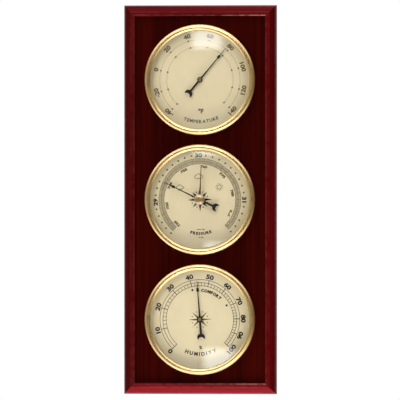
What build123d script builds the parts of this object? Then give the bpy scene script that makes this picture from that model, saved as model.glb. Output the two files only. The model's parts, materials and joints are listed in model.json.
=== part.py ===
"""Wall weather station: a framed board with a thermometer, an aneroid barometer and a hygrometer.

The origin is the centre of the board's back face, +Z is up and the dials face -Y.
Heights on an instrument are measured forwards from the front face of the panel.
Angles of pointers are measured clockwise from the top, as the viewer sees them.
"""
from math import cos, pi, radians, sin
import os

from build123d import *

# Board and frame
side_margin = 9.7           # panel between a bezel and the frame, at the sides
end_margin = 8.2            # the same at the top and bottom
panel_face = 18.0           # depth of the panel's front face, from the wall
rail_rise = 4.0             # how far the frame's front flat stands above the panel
bevel_rise = 7.0
edge_rise = 5.0             # depth of the steep outer edge
edge_width = 1.4            # steep outer edge
bevel_width = 6.2           # wide outer bevel
flat_width = 2.4            # front flat
inner_chamfer = 1.8         # chamfer towards the panel
lip = 4.0                   # how far the frame laps over the panel
wood_fit = 0.15

# Dials
dial_gap = 9.0              # between two bezels
case_radius = 49.0
bore_gap = 1.6              # between a case and its bore in the panel
flange_lap = 4.8            # how far the flange stands out from the case
glass_lap = 2.8             # how far the bezel laps over the glass
bezel_wall = 3.0            # from the bezel's seat to its outside
shoulder_drop = 1.6         # from the glass rim back to where the bezel's roll begins
roll_rise = 1.1             # how far the bezel's roll stands above the glass rim
fit = 0.2                   # radial room between parts that nest
rim_lap = 0.4               # how far the dome's rim starts inside the opening
case_wall = 0.6
flange_thickness = 1.0
dial_thickness = 0.8
dial_trim = 0.4             # how much smaller the dial is than the flange
reveal_height = 3.8         # ring between the dial and the glass
glass_thickness = 2.0
glass_rise = 6.0
rubber_start = 9.0          # depth of the rubber ring behind the panel's face
rubber_width = 4.0
rubber_fit = 0.1
vent_radius = 2.0
vent_circle = 26.0
vent_count = 4

# Arbors, bushes and pointers
arbor_radius = 0.9
tip_radius = 0.6            # thin ends of the arbors
run_fit = 0.05
hold_fit = 0.03
bush_radius = 2.0
bush_flange_radius = 3.2
bush_flange = 0.8
bush_stand = 0.3            # how far a bush stands above the dial
pointer_room = 1.4          # between the dial and the pointers
pointer_thickness = 0.5
pointer_margin = 9.2        # from the pointer's tip to the opening's edge
hygrometer_pointer_margin = 11.2
needle_width = 1.7
needle_tip_width = 0.4
bulb_distance = 30.4
bulb_length = 4.6
bulb_width = 2.8
tail_width = 2.0
tail_length = 15.8
crescent_radius = 4.0
crescent_cut_radius = 3.3
crescent_cut_shift = 3.0
hub_radius = 2.8
cap_radius = 1.6
cap_height = 1.5
cap_hole_depth = 0.9
cap_round = 0.7
thermometer_angle = 39.5
barometer_angle = -64.0
hygrometer_angle = -4.2

# Coils and brackets of the thermometer and the hygrometer
collet_radius = 2.0
coil_front = 2.5            # depth of the coil's front edge behind the panel's face
coil_width = 5.0
coil_strip = 0.6
coil_pitch = 2.4
coil_half_turns = 10
coil_room = 1.5             # between the coil and the bracket's strip
bracket_sheet = 1.0
bracket_width = 8.0
bracket_room = 6.1          # between the coil's post and the bracket's legs
bearing_room = 3.65         # between the arbor's end and the case's floor
bracket_foot = 6.0
boss_radius = 2.2
boss_length = 2.5
post_thickness = 1.2
post_width = 3.0
seat_fit = 0.05

# Set hand, knob and glass bush of the barometer
set_angle = 2.5
set_room = 0.4              # between the hub cap and the set hand
set_thickness = 0.5
set_length = 34.0
set_base_width = 1.8
set_tip_width = 0.7
set_hub_radius = 2.6
spindle_radius = 1.5
spindle_end_radius = 1.0
glass_bush_radius = 2.6
glass_bush_flange_radius = 3.8
glass_bush_flange = 0.7
glass_bush_room = 0.1       # between the bush's flange and the dome
knob_gap = 0.3
knob_neck_radius = 2.6
knob_neck_height = 1.6
knob_radius = 5.4
knob_height = 4.4
knob_round = 1.6

# Barometer movement; across and up are measured from the arbor
base_radius = 38.0
base_thickness = 1.5
capsule_room = 8.0          # from the rocker's shaft to the capsule's edge
capsule_radius = 13.0
capsule_thickness = 3.6
capsule_rim = 1.2           # thickness of the capsule's soldered rim
capsule_rim_width = 2.0
capsule_wave = 0.5          # depth of its rings
capsule_rings = 4
capsule_boss_radius = 3.0
capsule_boss = 1.0
stud_radius = 1.0
stud_head_radius = 1.8
stud_head = 0.6
stud_neck = 2.4             # between the capsule's boss and the leaf
spring_sheet = 0.8
spring_width = 12.0
spring_back = 28.0          # upper end of the main spring
leaf_overhang = 5.0         # how far the leaf runs past the stud
foot_margin = 3.0           # from the posts to the foot's end
foot_post_inset = 13.0      # from the spring's upper end to the posts
foot_post_height = 3.0
foot_post_across = 4.5
foot_post_radius = 1.5
lug_width = 1.6
lug_height = 3.2
pivot_inset = 6.0           # from the spring's upper end to the lever's pivot
pivot_below_leaf = 0.8      # from the leaf's back face to the lever's pivot
lever_pin_radius = 0.6
lever_gap = 0.4
lever_width = 1.6
lever_thickness = 0.8
contact_arm = 6.0           # from the rocker's shaft to where the lever meets its arm
lever_end = 0.6             # how far the lever runs past the contact
lever_heel = 2.0            # how far it runs past its pivot
rocker_inset = 7.0          # from the base plate's edge to the rocker's shaft
rocker_radius = 0.8
rocker_arm_thickness = 0.8
rocker_arm_width = 1.6
rocker_gap = 0.4            # between the lever and the rocker's arm
chain_arm = 5.0             # from the rocker's shaft to the chain
chain_arm_end = 0.4
ear_thickness = 1.0
ear_first = 3.0             # across from the arbor
ear_span = 12.0
ear_width = 4.0
ear_top = 1.6               # above the shaft
shaft_end = 1.0
drum_radius = 0.45
chain_radius = 0.25
chain_depth = 2.0           # from the panel's face back to the chain
bridge_room = 1.2           # between the leaf and the bridge
bridge_sheet = 1.0
bridge_end = 2.0            # how far the bridge runs past its pillars
bridge_width = 9.0
pillar_room = 1.0           # between a pillar and the capsule, at least
pillar_radius = 1.5
hair_collet_radius = 1.2
hair_room = 0.5             # between the bridge and the hairspring
hair_width = 0.6
hair_strip = 0.2
hair_pitch = 1.0
hair_half_turns = 10
adjuster_inset = 4.0        # from the spring's upper end to the adjusting screw
adjuster_radius = 1.5
adjuster_gap = 0.3
adjuster_sunk = 0.1         # below the case's back
slot_width = 0.6
slot_depth = 0.8
access_radius = 2.2

# Keyhole hanger on the back
hanger_length = 46.0
hanger_margin = 1.2         # metal round the keyhole
hanger_sheet = 1.2
hanger_corner = 2.5
entry_radius = 3.6
slot_radius = 1.9
slot_travel = 5.6           # from the entry's middle to the slot's end
head_cavity_depth = 6.0
screw_inset = 6.0           # from the plate's end to its screw
screw_head_radius = 2.4
screw_shank_radius = 1.2
screw_length = 10.0
countersink_angle = 90.0

# Worked-out sizes
rail_width = edge_width + bevel_width + flat_width + inner_chamfer
rail_depth = panel_face + rail_rise
edge_end_depth = rail_depth - bevel_rise
edge_start_depth = edge_end_depth - edge_rise
bore_radius = case_radius + bore_gap
flange_radius = case_radius + flange_lap
seat_radius = flange_radius + fit
bezel_radius = seat_radius + bezel_wall
opening_radius = flange_radius - glass_lap
dial_pitch = 2 * bezel_radius + dial_gap
board_width = 2 * (bezel_radius + side_margin + rail_width)
board_height = 2 * (dial_pitch + bezel_radius + end_margin + rail_width)
panel_width = board_width - 2 * (rail_width - lip + wood_fit)
panel_height = board_height - 2 * (rail_width - lip + wood_fit)
dial_radius = flange_radius - dial_trim
dial_back = flange_thickness
dial_front = dial_back + dial_thickness
glass_back = dial_front + reveal_height
glass_front = glass_back + glass_thickness
shoulder_height = glass_front - shoulder_drop
dome_radius = opening_radius - rim_lap
dome_sphere = (dome_radius**2 + glass_rise**2) / (2 * glass_rise)
glass_inside_top = glass_back + glass_rise
glass_top = glass_front + glass_rise
pointer_height = dial_front + pointer_room
pointer_top = pointer_height + pointer_thickness
pointer_length = opening_radius - pointer_margin
hygrometer_pointer_length = opening_radius - hygrometer_pointer_margin
set_height = pointer_top + cap_height + set_room
thermometer_up = dial_pitch
barometer_up = 0.0
hygrometer_up = -dial_pitch
dial_ups = (thermometer_up, barometer_up, hygrometer_up)
coil_start = collet_radius + seat_fit + coil_strip / 2
coil_outside = coil_start + (coil_half_turns * coil_pitch + coil_strip) / 2
bracket_reach = coil_outside + seat_fit + post_thickness + bracket_room
bracket_depth = coil_front + coil_width + coil_room + bracket_sheet
bearing_depth = bracket_depth + (boss_length - bracket_sheet) / 2
case_depth = bearing_depth + bearing_room + case_wall
rocker_depth = chain_depth + chain_arm
lever_pivot_depth = rocker_depth + rocker_gap + (rocker_arm_thickness + lever_thickness) / 2
leaf_depth = lever_pivot_depth - pivot_below_leaf
movement_depth = leaf_depth + stud_neck + capsule_boss + capsule_thickness
base_front = -movement_depth
barometer_depth = movement_depth + base_thickness + case_wall
foot_depth = movement_depth - foot_post_height
bridge_depth = leaf_depth - spring_sheet - bridge_room
hair_depth = bridge_depth - bridge_sheet - hair_room
hair_start = hair_collet_radius + seat_fit + hair_strip / 2
hair_outside = hair_start + (hair_half_turns * hair_pitch + hair_strip) / 2
lever_across = spring_width / 2 + lug_width + lever_gap + lever_width / 2
lever_pivot_up = spring_back - pivot_inset
adjuster_up = spring_back - adjuster_inset
foot_post_up = spring_back - foot_post_inset
foot_end = foot_post_up - foot_margin
rocker_up = rocker_inset - base_radius
lever_contact_up = rocker_up + contact_arm
capsule_up = rocker_up + capsule_room + capsule_radius
spring_front = capsule_up - leaf_overhang
pillar_across = capsule_radius + pillar_radius + pillar_room
bridge_length = 2 * (pillar_across + pillar_radius + bridge_end)
chain_across = -drum_radius - run_fit - chain_radius
bush_front = glass_top + glass_bush_room + glass_bush_flange
bush_back = glass_inside_top - glass_bush_room - glass_bush_flange
hanger_width = entry_radius + slot_travel + slot_radius + 2 * hanger_margin
hanger_up = (thermometer_up + bore_radius + panel_height / 2) / 2
entry_up = hanger_margin + entry_radius - hanger_width / 2
slot_top = entry_up + slot_travel
screw_across = hanger_length / 2 - screw_inset


def section_plane(up):
    """Half-section plane of an instrument: local x is the radius, local y the height."""
    return Plane(origin=(0, -panel_face, up), x_dir=(1, 0, 0), z_dir=(0, 0, -1))


def dial_plane(up, height):
    """Plane of an instrument at a height, facing the viewer, with local y up."""
    return Plane(origin=(0, -panel_face - height, up), x_dir=(1, 0, 0), z_dir=(0, -1, 0))


def pointer_plane(up, height, angle):
    """Plane of a pointer, with local y along the pointer."""
    turn = radians(angle)
    return Plane(
        origin=(0, -panel_face - height, up), x_dir=(cos(turn), 0, -sin(turn)), z_dir=(0, -1, 0)
    )


def cross_plane(across, up):
    """Plane square to the X axis of an instrument: local x is up, local y the height."""
    return Plane(origin=(across, -panel_face, up), x_dir=(0, 0, 1), z_dir=(1, 0, 0))


def front_axis(up):
    """Centre line of an instrument."""
    return Axis((0, -panel_face, up), (0, -1, 0))


def keep(part, name):
    """Name a finished piece and write it."""
    part.label = name
    export_step(part, f"parts/{name}.step")


def turned(up, outline):
    """Solid turned about an instrument's centre line from (radius, height) points."""
    with BuildPart() as body:
        with BuildSketch(section_plane(up)):
            with BuildLine():
                Polyline(*outline, close=True)
            make_face()
        revolve(axis=front_axis(up))
    return body.part


# Frame and panel
def make_rail(outward, half_out, half_along):
    """One mitred rail; its section is drawn inwards from the board's edge."""
    out = Vector(*outward)
    along = out.cross(Vector(0, 1, 0))
    bevel_end = edge_width + bevel_width
    section = Plane(origin=out * half_out, x_dir=-out, z_dir=(-out).cross(Vector(0, -1, 0)))
    with BuildPart() as rail:
        with BuildSketch(section):
            with BuildLine():
                Polyline(
                    (0, 0),
                    (0, edge_start_depth),
                    (edge_width, edge_end_depth),
                    (bevel_end, rail_depth),
                    (bevel_end + flat_width, rail_depth),
                    (rail_width, rail_depth - inner_chamfer),
                    (rail_width, panel_face),
                    (rail_width - lip, panel_face),
                    (rail_width - lip, 0),
                    close=True,
                )
            make_face()
        extrude(amount=half_along, both=True)
        for side in (1, -1):
            corner = out * half_out + along * (side * half_along)
            mitre = Plane(origin=corner, z_dir=along * side - out)
            split(bisect_by=mitre, keep=Keep.BOTTOM)
    return rail.part


def hanger_screw_spots():
    """Places of the two hanger screws on the back."""
    return [(-screw_across, hanger_up), (screw_across, hanger_up)]


def make_panel():
    """Panel with its three bores, the hanger's recess, the cavity for a nail head and pilot holes."""
    with BuildPart() as panel:
        with BuildSketch(Plane.XZ):
            Rectangle(panel_width, panel_height)
            with Locations(*[(0, up) for up in dial_ups]):
                Circle(bore_radius, mode=Mode.SUBTRACT)
        extrude(amount=panel_face)
        with BuildSketch(Plane.XZ):
            with Locations((0, hanger_up)):
                RectangleRounded(
                    hanger_length + 2 * wood_fit, hanger_width + 2 * wood_fit, hanger_corner + wood_fit
                )
        extrude(amount=hanger_sheet, mode=Mode.SUBTRACT)
        with BuildSketch(Plane.XZ.offset(hanger_sheet)):
            with Locations((0, hanger_up + (entry_up + slot_top) / 2)):
                SlotCenterToCenter(slot_top - entry_up, 2 * entry_radius, rotation=90)
        extrude(amount=head_cavity_depth, mode=Mode.SUBTRACT)
        with BuildSketch(Plane.XZ.offset(hanger_sheet)):
            with Locations(*hanger_screw_spots()):
                Circle(screw_shank_radius + hold_fit)
        extrude(amount=screw_length, mode=Mode.SUBTRACT)
    return panel.part


def make_hanger_plate():
    """Keyhole plate, flush with the back, with two countersunk holes."""
    with BuildPart() as plate:
        with BuildSketch(Plane.XZ):
            with Locations((0, hanger_up)):
                RectangleRounded(hanger_length, hanger_width, hanger_corner)
            with Locations((0, hanger_up + entry_up)):
                Circle(entry_radius, mode=Mode.SUBTRACT)
            with Locations((0, hanger_up + (entry_up + slot_top) / 2)):
                SlotCenterToCenter(slot_top - entry_up, 2 * slot_radius, rotation=90, mode=Mode.SUBTRACT)
        extrude(amount=hanger_sheet)
        with BuildSketch(Plane.XZ):
            with Locations(*hanger_screw_spots()):
                Circle(screw_head_radius + hold_fit)
        extrude(amount=hanger_sheet, taper=countersink_angle / 2, mode=Mode.SUBTRACT)
    return plate.part


def make_hanger_screws():
    """Two countersunk wood screws, flush with the plate."""
    with BuildPart() as screws:
        with BuildSketch(Plane.XZ):
            with Locations(*hanger_screw_spots()):
                Circle(screw_head_radius)
        extrude(amount=screw_head_radius - screw_shank_radius, taper=countersink_angle / 2)
        with BuildSketch(Plane.XZ.offset(screw_head_radius - screw_shank_radius)):
            with Locations(*hanger_screw_spots()):
                Circle(screw_shank_radius)
        extrude(amount=screw_length - screw_head_radius + screw_shank_radius)
    return screws.part


# Shared instrument pieces
def make_case(up, depth, holes):
    """Cup with a flange that seats on the panel; holes lists (across, up, radius) in its back."""
    inside = case_radius - case_wall
    with BuildPart() as case:
        with BuildSketch(section_plane(up)):
            with BuildLine():
                Polyline(
                    (0, -depth),
                    (case_radius, -depth),
                    (case_radius, 0),
                    (flange_radius, 0),
                    (flange_radius, flange_thickness),
                    (inside, flange_thickness),
                    (inside, case_wall - depth),
                    (0, case_wall - depth),
                    close=True,
                )
            make_face()
        revolve(axis=front_axis(up))
        for across, hole_up, radius in holes:
            with BuildSketch(dial_plane(up, -depth)):
                with Locations((across, hole_up)):
                    Circle(radius)
            extrude(amount=case_wall, mode=Mode.SUBTRACT)
    return case.part


def make_rubber_ring(up):
    """Rubber ring that holds the case in its bore."""
    inner = case_radius + rubber_fit
    outer = bore_radius - rubber_fit
    back = -rubber_start
    front = rubber_width - rubber_start
    return turned(up, [(inner, back), (outer, back), (outer, front), (inner, front)])


def make_dial(up):
    """Round dial plate with the bush's hole."""
    with BuildPart() as dial:
        with BuildSketch(dial_plane(up, dial_back)):
            Circle(dial_radius)
            Circle(bush_radius + hold_fit, mode=Mode.SUBTRACT)
        extrude(amount=dial_thickness)
    return dial.part


def make_bush(up):
    """Flanged bush in the dial that carries the arbor."""
    bore = arbor_radius + run_fit
    back = dial_back - bush_flange
    front = dial_front + bush_stand
    return turned(
        up,
        [
            (bore, back),
            (bush_flange_radius, back),
            (bush_flange_radius, dial_back),
            (bush_radius, dial_back),
            (bush_radius, front),
            (bore, front),
        ],
    )


def make_reveal(up):
    """Ring that keeps the glass off the dial."""
    return turned(
        up,
        [
            (opening_radius, dial_front),
            (flange_radius, dial_front),
            (flange_radius, glass_back),
            (opening_radius, glass_back),
        ],
    )


def make_glass(up, hole_radius):
    """Domed glass with a flat rim, and a hole at its middle where hole_radius isn't zero."""
    with BuildPart() as glass:
        with BuildSketch(section_plane(up)):
            with BuildLine():
                RadiusArc((0, glass_inside_top), (dome_radius, glass_back), dome_sphere)
                Polyline(
                    (dome_radius, glass_back),
                    (flange_radius, glass_back),
                    (flange_radius, glass_front),
                    (dome_radius, glass_front),
                )
                RadiusArc((0, glass_top), (dome_radius, glass_front), dome_sphere)
                Line((0, glass_top), (0, glass_inside_top))
            make_face()
        revolve(axis=front_axis(up))
        if hole_radius > 0:
            with BuildSketch(dial_plane(up, glass_back)):
                Circle(hole_radius)
            extrude(amount=glass_thickness + 2 * glass_rise, mode=Mode.SUBTRACT)
    return glass.part


def make_bezel(up):
    """Brass ring: a plain wall and one round roll that holds the glass."""
    roll_back = glass_front + fit
    roll_top = glass_front + roll_rise
    roll_middle = (bezel_radius + opening_radius) / 2
    with BuildPart() as bezel:
        with BuildSketch(section_plane(up)):
            with BuildLine():
                Polyline((opening_radius, roll_back), (seat_radius, roll_back), (seat_radius, 0))
                Polyline((seat_radius, 0), (bezel_radius, 0), (bezel_radius, shoulder_height))
                ThreePointArc(
                    (bezel_radius, shoulder_height), (roll_middle, roll_top), (opening_radius, roll_back)
                )
            make_face()
        revolve(axis=front_axis(up))
    return bezel.part


def make_pointer(up, angle, length):
    """Needle with a small oval near its end and a crescent on its tail."""
    crescent_up = -tail_length - crescent_radius + crescent_cut_shift / 2
    with BuildPart() as pointer:
        with BuildSketch(pointer_plane(up, pointer_height, angle)):
            with Locations((0, crescent_up)):
                Circle(crescent_radius)
            with Locations((0, crescent_up - crescent_cut_shift)):
                Circle(crescent_cut_radius, mode=Mode.SUBTRACT)
            with Locations((0, -tail_length / 2)):
                Rectangle(tail_width, tail_length)
            Circle(hub_radius)
            with BuildLine():
                Polyline(
                    (-needle_width / 2, 0),
                    (needle_width / 2, 0),
                    (needle_tip_width / 2, length),
                    (-needle_tip_width / 2, length),
                    close=True,
                )
            make_face()
            with Locations((0, bulb_distance)):
                Ellipse(bulb_width / 2, bulb_length / 2)
            Circle(tip_radius + hold_fit, mode=Mode.SUBTRACT)
        extrude(amount=pointer_thickness)
    return pointer.part


def make_hub_cap(up):
    """Turned brass cap over the end of an arbor."""
    hole = tip_radius + hold_fit
    top = pointer_top + cap_height
    hole_top = pointer_top + cap_hole_depth
    return turned(
        up,
        [
            (hole, pointer_top),
            (cap_radius, pointer_top),
            (cap_radius, top - cap_round),
            (cap_radius - cap_round, top),
            (0, top),
            (0, hole_top),
            (hole, hole_top),
        ],
    )


def half_turn_spiral(plane, start_radius, pitch, strip, half_turns, width):
    """Flat coil of half circles; each half turn is half a pitch larger than the one before."""
    with BuildPart() as coil:
        with BuildSketch(plane):
            with BuildLine():
                for side in (-strip / 2, strip / 2):
                    for step in range(half_turns):
                        centre = (step % 2) * pitch / 2
                        radius = start_radius + step * pitch / 2 + side
                        CenterArc((centre, 0), radius, 180 * (step % 2), 180)
                end_radius = start_radius + half_turns * pitch / 2
                Line((start_radius - strip / 2, 0), (start_radius + strip / 2, 0))
                Line((end_radius - strip / 2, 0), (end_radius + strip / 2, 0))
            make_face()
        extrude(amount=width)
    return coil.part


# Thermometer and hygrometer movements
def make_coil(up):
    """Spiral strip behind the dial, from the arbor's collet to the bracket's post."""
    plane = dial_plane(up, -coil_front - coil_width)
    return half_turn_spiral(plane, coil_start, coil_pitch, coil_strip, coil_half_turns, coil_width)


def make_coil_arbor(up):
    """Arbor with a collet for the coil."""
    back = -bearing_depth
    coil_back = -coil_front - coil_width
    return turned(
        up,
        [
            (0, back),
            (arbor_radius, back),
            (arbor_radius, coil_back),
            (collet_radius, coil_back),
            (collet_radius, -coil_front),
            (arbor_radius, -coil_front),
            (arbor_radius, pointer_height),
            (tip_radius, pointer_height),
            (tip_radius, pointer_top + cap_hole_depth - hold_fit),
            (0, pointer_top + cap_hole_depth - hold_fit),
        ],
    )


def make_bracket(up):
    """Bent strip on the dial's back that carries the arbor's far end and the coil's post."""
    leg_height = bracket_depth + dial_back
    strip_middle = bracket_sheet / 2 - bracket_depth
    post_back = bracket_sheet - bracket_depth
    with BuildPart() as bracket:
        with BuildSketch(section_plane(up)):
            with Locations((0, strip_middle)):
                Rectangle(2 * bracket_reach, bracket_sheet)
            for side in (1, -1):
                with Locations((side * (bracket_reach - bracket_sheet / 2), dial_back - leg_height / 2)):
                    Rectangle(bracket_sheet, leg_height)
                with Locations((side * (bracket_reach + bracket_foot / 2), dial_back - bracket_sheet / 2)):
                    Rectangle(bracket_foot + bracket_sheet, bracket_sheet)
        extrude(amount=bracket_width / 2, both=True)
        with BuildSketch(dial_plane(up, -bearing_depth)):
            Circle(boss_radius)
        extrude(amount=boss_length)
        with BuildSketch(dial_plane(up, post_back)):
            with Locations((coil_outside + seat_fit + post_thickness / 2, 0)):
                Rectangle(post_thickness, post_width)
        extrude(amount=bracket_depth - bracket_sheet - coil_front)
        with BuildSketch(dial_plane(up, -bearing_depth)):
            Circle(arbor_radius + run_fit)
        extrude(amount=boss_length, mode=Mode.SUBTRACT)
    return bracket.part


# Barometer movement
def make_base_plate():
    """Round plate on the case's floor, with two posts for the main spring and the screw's hole."""
    with BuildPart() as plate:
        with BuildSketch(dial_plane(barometer_up, base_front - base_thickness)):
            Circle(base_radius)
            with Locations((0, adjuster_up)):
                Circle(adjuster_radius + run_fit, mode=Mode.SUBTRACT)
        extrude(amount=base_thickness)
        with BuildSketch(dial_plane(barometer_up, base_front)):
            with Locations((-foot_post_across, foot_post_up), (foot_post_across, foot_post_up)):
                Circle(foot_post_radius)
        extrude(amount=-foot_depth - base_front)
    return plate.part


def make_capsule():
    """Sealed ribbed capsule with a soldered rim and a boss in the middle."""
    middle = base_front + capsule_thickness / 2
    top = base_front + capsule_thickness
    dome_edge = capsule_radius - capsule_rim_width
    ring_step = (dome_edge - capsule_boss_radius) / capsule_rings
    top_rings = []
    for step in range(1, capsule_rings + 1):
        ring = dome_edge - step * ring_step + ring_step / 2
        top_rings.append((ring + ring_step / 4, top - capsule_wave))
        top_rings.append((ring - ring_step / 4, top))
    with BuildPart() as capsule:
        with BuildSketch(section_plane(barometer_up + capsule_up)):
            with BuildLine():
                Polyline(
                    (0, base_front),
                    (dome_edge, base_front),
                    (dome_edge, middle - capsule_rim / 2),
                    (capsule_radius, middle - capsule_rim / 2),
                    (capsule_radius, middle + capsule_rim / 2),
                    (dome_edge, middle + capsule_rim / 2),
                    *top_rings,
                    (capsule_boss_radius, top),
                    (capsule_boss_radius, top + capsule_boss),
                    (0, top + capsule_boss),
                    close=True,
                )
            make_face()
        revolve(axis=front_axis(barometer_up + capsule_up))
    return capsule.part


def make_stud():
    """Headed stud that hooks the capsule to the main spring's leaf."""
    back = base_front + capsule_thickness + capsule_boss
    leaf_front = spring_sheet - leaf_depth
    return turned(
        barometer_up + capsule_up,
        [
            (0, back),
            (stud_radius, back),
            (stud_radius, leaf_front),
            (stud_head_radius, leaf_front),
            (stud_head_radius, leaf_front + stud_head),
            (0, leaf_front + stud_head),
        ],
    )


def make_main_spring():
    """Sheet spring bent to a C, with a hole for the stud and a lug for the lever's pin."""
    riser = spring_back - spring_sheet
    leaf_front = spring_sheet - leaf_depth
    foot_front = spring_sheet - foot_depth
    with BuildPart() as spring:
        with BuildSketch(cross_plane(0, barometer_up)):
            with BuildLine():
                Polyline(
                    (foot_end, -foot_depth),
                    (spring_back, -foot_depth),
                    (spring_back, leaf_front),
                    (spring_front, leaf_front),
                    (spring_front, -leaf_depth),
                    (riser, -leaf_depth),
                    (riser, foot_front),
                    (foot_end, foot_front),
                    close=True,
                )
            make_face()
        extrude(amount=spring_width / 2, both=True)
        with BuildSketch(cross_plane(spring_width / 2, barometer_up)):
            with Locations((lever_pivot_up, leaf_front - lug_height / 2)):
                Rectangle(lug_height, lug_height)
        extrude(amount=lug_width)
        with BuildSketch(cross_plane(spring_width / 2, barometer_up)):
            with Locations((lever_pivot_up, -lever_pivot_depth)):
                Circle(lever_pin_radius + run_fit)
        extrude(amount=lug_width, mode=Mode.SUBTRACT)
        with BuildSketch(dial_plane(barometer_up, -leaf_depth)):
            with Locations((0, capsule_up)):
                Circle(stud_radius + run_fit)
        extrude(amount=spring_sheet, mode=Mode.SUBTRACT)
    return spring.part


def make_lever():
    """Long arm that carries the spring's movement to the rocker, with its own pivot pin."""
    length = lever_pivot_up + lever_heel - lever_contact_up + lever_end
    middle = lever_pivot_up + lever_heel - length / 2
    with BuildPart() as lever:
        with BuildSketch(cross_plane(lever_across, barometer_up)):
            with Locations((middle, -lever_pivot_depth)):
                Rectangle(length, lever_thickness)
            with Locations((lever_pivot_up, -lever_pivot_depth)):
                Circle(2 * lever_pin_radius)
        extrude(amount=lever_width / 2, both=True)
        with BuildSketch(cross_plane(lever_across, barometer_up)):
            with Locations((lever_pivot_up, -lever_pivot_depth)):
                Circle(lever_pin_radius)
        extrude(amount=-lever_width / 2 - lever_gap - lug_width)
    return lever.part


def make_rocker():
    """Cross shaft with one arm over the lever and one that holds the chain."""
    shaft_start = chain_across - rocker_arm_width / 2
    shaft_length = ear_first + ear_span + ear_thickness + shaft_end - shaft_start
    arm_length = lever_contact_up - rocker_up + lever_end
    chain_length = chain_arm + chain_arm_end
    with BuildPart() as rocker:
        with BuildSketch(cross_plane(shaft_start, barometer_up)):
            with Locations((rocker_up, -rocker_depth)):
                Circle(rocker_radius)
        extrude(amount=shaft_length)
        with BuildSketch(cross_plane(lever_across, barometer_up)):
            with Locations((rocker_up + arm_length / 2, -rocker_depth)):
                Rectangle(arm_length, rocker_arm_thickness)
        extrude(amount=rocker_arm_width / 2, both=True)
        with BuildSketch(cross_plane(chain_across, barometer_up)):
            with Locations((rocker_up, chain_length / 2 - rocker_depth)):
                Rectangle(rocker_arm_thickness, chain_length)
        extrude(amount=rocker_arm_width / 2, both=True)
    return rocker.part


def make_rocker_bracket():
    """Folded bracket on the base plate with two ears for the rocker's shaft."""
    ear_height = ear_top - rocker_depth - base_front
    with BuildPart() as bracket:
        with BuildSketch(dial_plane(barometer_up, base_front)):
            with Locations((ear_first + (ear_span + ear_thickness) / 2, rocker_up)):
                Rectangle(ear_span + ear_thickness, ear_width)
        extrude(amount=ear_thickness)
        for across in (ear_first, ear_first + ear_span):
            with BuildSketch(cross_plane(across, barometer_up)):
                with Locations((rocker_up, base_front + ear_height / 2)):
                    Rectangle(ear_width, ear_height)
                with Locations((rocker_up, -rocker_depth)):
                    Circle(rocker_radius + run_fit, mode=Mode.SUBTRACT)
            extrude(amount=ear_thickness)
    return bracket.part


def make_chain():
    """Fine chain, drawn as a thin cord, from the rocker's arm to the drum."""
    start = rocker_up + rocker_arm_thickness / 2
    plane = Plane(
        origin=(chain_across, chain_depth - panel_face, barometer_up + start),
        x_dir=(1, 0, 0),
        z_dir=(0, 0, 1),
    )
    with BuildPart() as chain:
        with BuildSketch(plane):
            Circle(chain_radius)
        extrude(amount=-start)
    return chain.part


def make_hairspring():
    """Fine spiral that keeps the chain tight."""
    plane = dial_plane(barometer_up, -hair_depth)
    return half_turn_spiral(plane, hair_start, hair_pitch, hair_strip, hair_half_turns, hair_width)


def make_barometer_arbor():
    """Arbor with a pivot in the bridge, a collet for the hairspring and a thin drum."""
    bridge_front = bridge_sheet - bridge_depth
    return turned(
        barometer_up,
        [
            (0, -bridge_depth),
            (tip_radius, -bridge_depth),
            (tip_radius, bridge_front + run_fit),
            (hair_collet_radius, bridge_front + run_fit),
            (hair_collet_radius, hair_width - hair_depth),
            (drum_radius, hair_width - hair_depth),
            (drum_radius, dial_back - bush_flange - run_fit),
            (arbor_radius, dial_back - bush_flange - run_fit),
            (arbor_radius, pointer_height),
            (tip_radius, pointer_height),
            (tip_radius, pointer_top + cap_hole_depth - hold_fit),
            (0, pointer_top + cap_hole_depth - hold_fit),
        ],
    )


def make_bridge():
    """Strip on two pillars that carries the arbor's back pivot and the hairspring's post."""
    with BuildPart() as bridge:
        with BuildSketch(dial_plane(barometer_up, -bridge_depth)):
            Rectangle(bridge_length, bridge_width)
            Circle(tip_radius + run_fit, mode=Mode.SUBTRACT)
        extrude(amount=bridge_sheet)
        with BuildSketch(dial_plane(barometer_up, bridge_sheet - bridge_depth)):
            with Locations((hair_outside + seat_fit + post_thickness / 2, 0)):
                Rectangle(post_thickness, post_thickness)
        extrude(amount=bridge_depth - bridge_sheet - hair_depth + hair_width)
    return bridge.part


def make_pillars():
    """Two pillars between the base plate and the bridge."""
    with BuildPart() as pillars:
        with BuildSketch(dial_plane(barometer_up, base_front)):
            with Locations((-pillar_across, 0), (pillar_across, 0)):
                Circle(pillar_radius)
        extrude(amount=-bridge_depth - base_front)
    return pillars.part


def make_adjuster():
    """Slotted screw that tips the main spring's foot, reached through the case's back."""
    back = adjuster_sunk - barometer_depth
    length = -foot_depth - adjuster_gap - back
    with BuildPart() as screw:
        with BuildSketch(dial_plane(barometer_up + adjuster_up, back)):
            Circle(adjuster_radius)
        extrude(amount=length)
        with BuildSketch(dial_plane(barometer_up + adjuster_up, back)):
            Rectangle(slot_width, 2 * adjuster_radius)
        extrude(amount=slot_depth, mode=Mode.SUBTRACT)
    return screw.part


# Set hand
def make_glass_bush():
    """Bush through the glass, with a flange on each side of it."""
    bore = spindle_radius + run_fit
    return turned(
        barometer_up,
        [
            (bore, bush_back),
            (glass_bush_flange_radius, bush_back),
            (glass_bush_flange_radius, bush_back + glass_bush_flange - fit),
            (glass_bush_radius, bush_back + glass_bush_flange - fit),
            (glass_bush_radius, glass_top + glass_bush_room),
            (glass_bush_flange_radius, glass_top + glass_bush_room),
            (glass_bush_flange_radius, bush_front),
            (bore, bush_front),
        ],
    )


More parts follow.
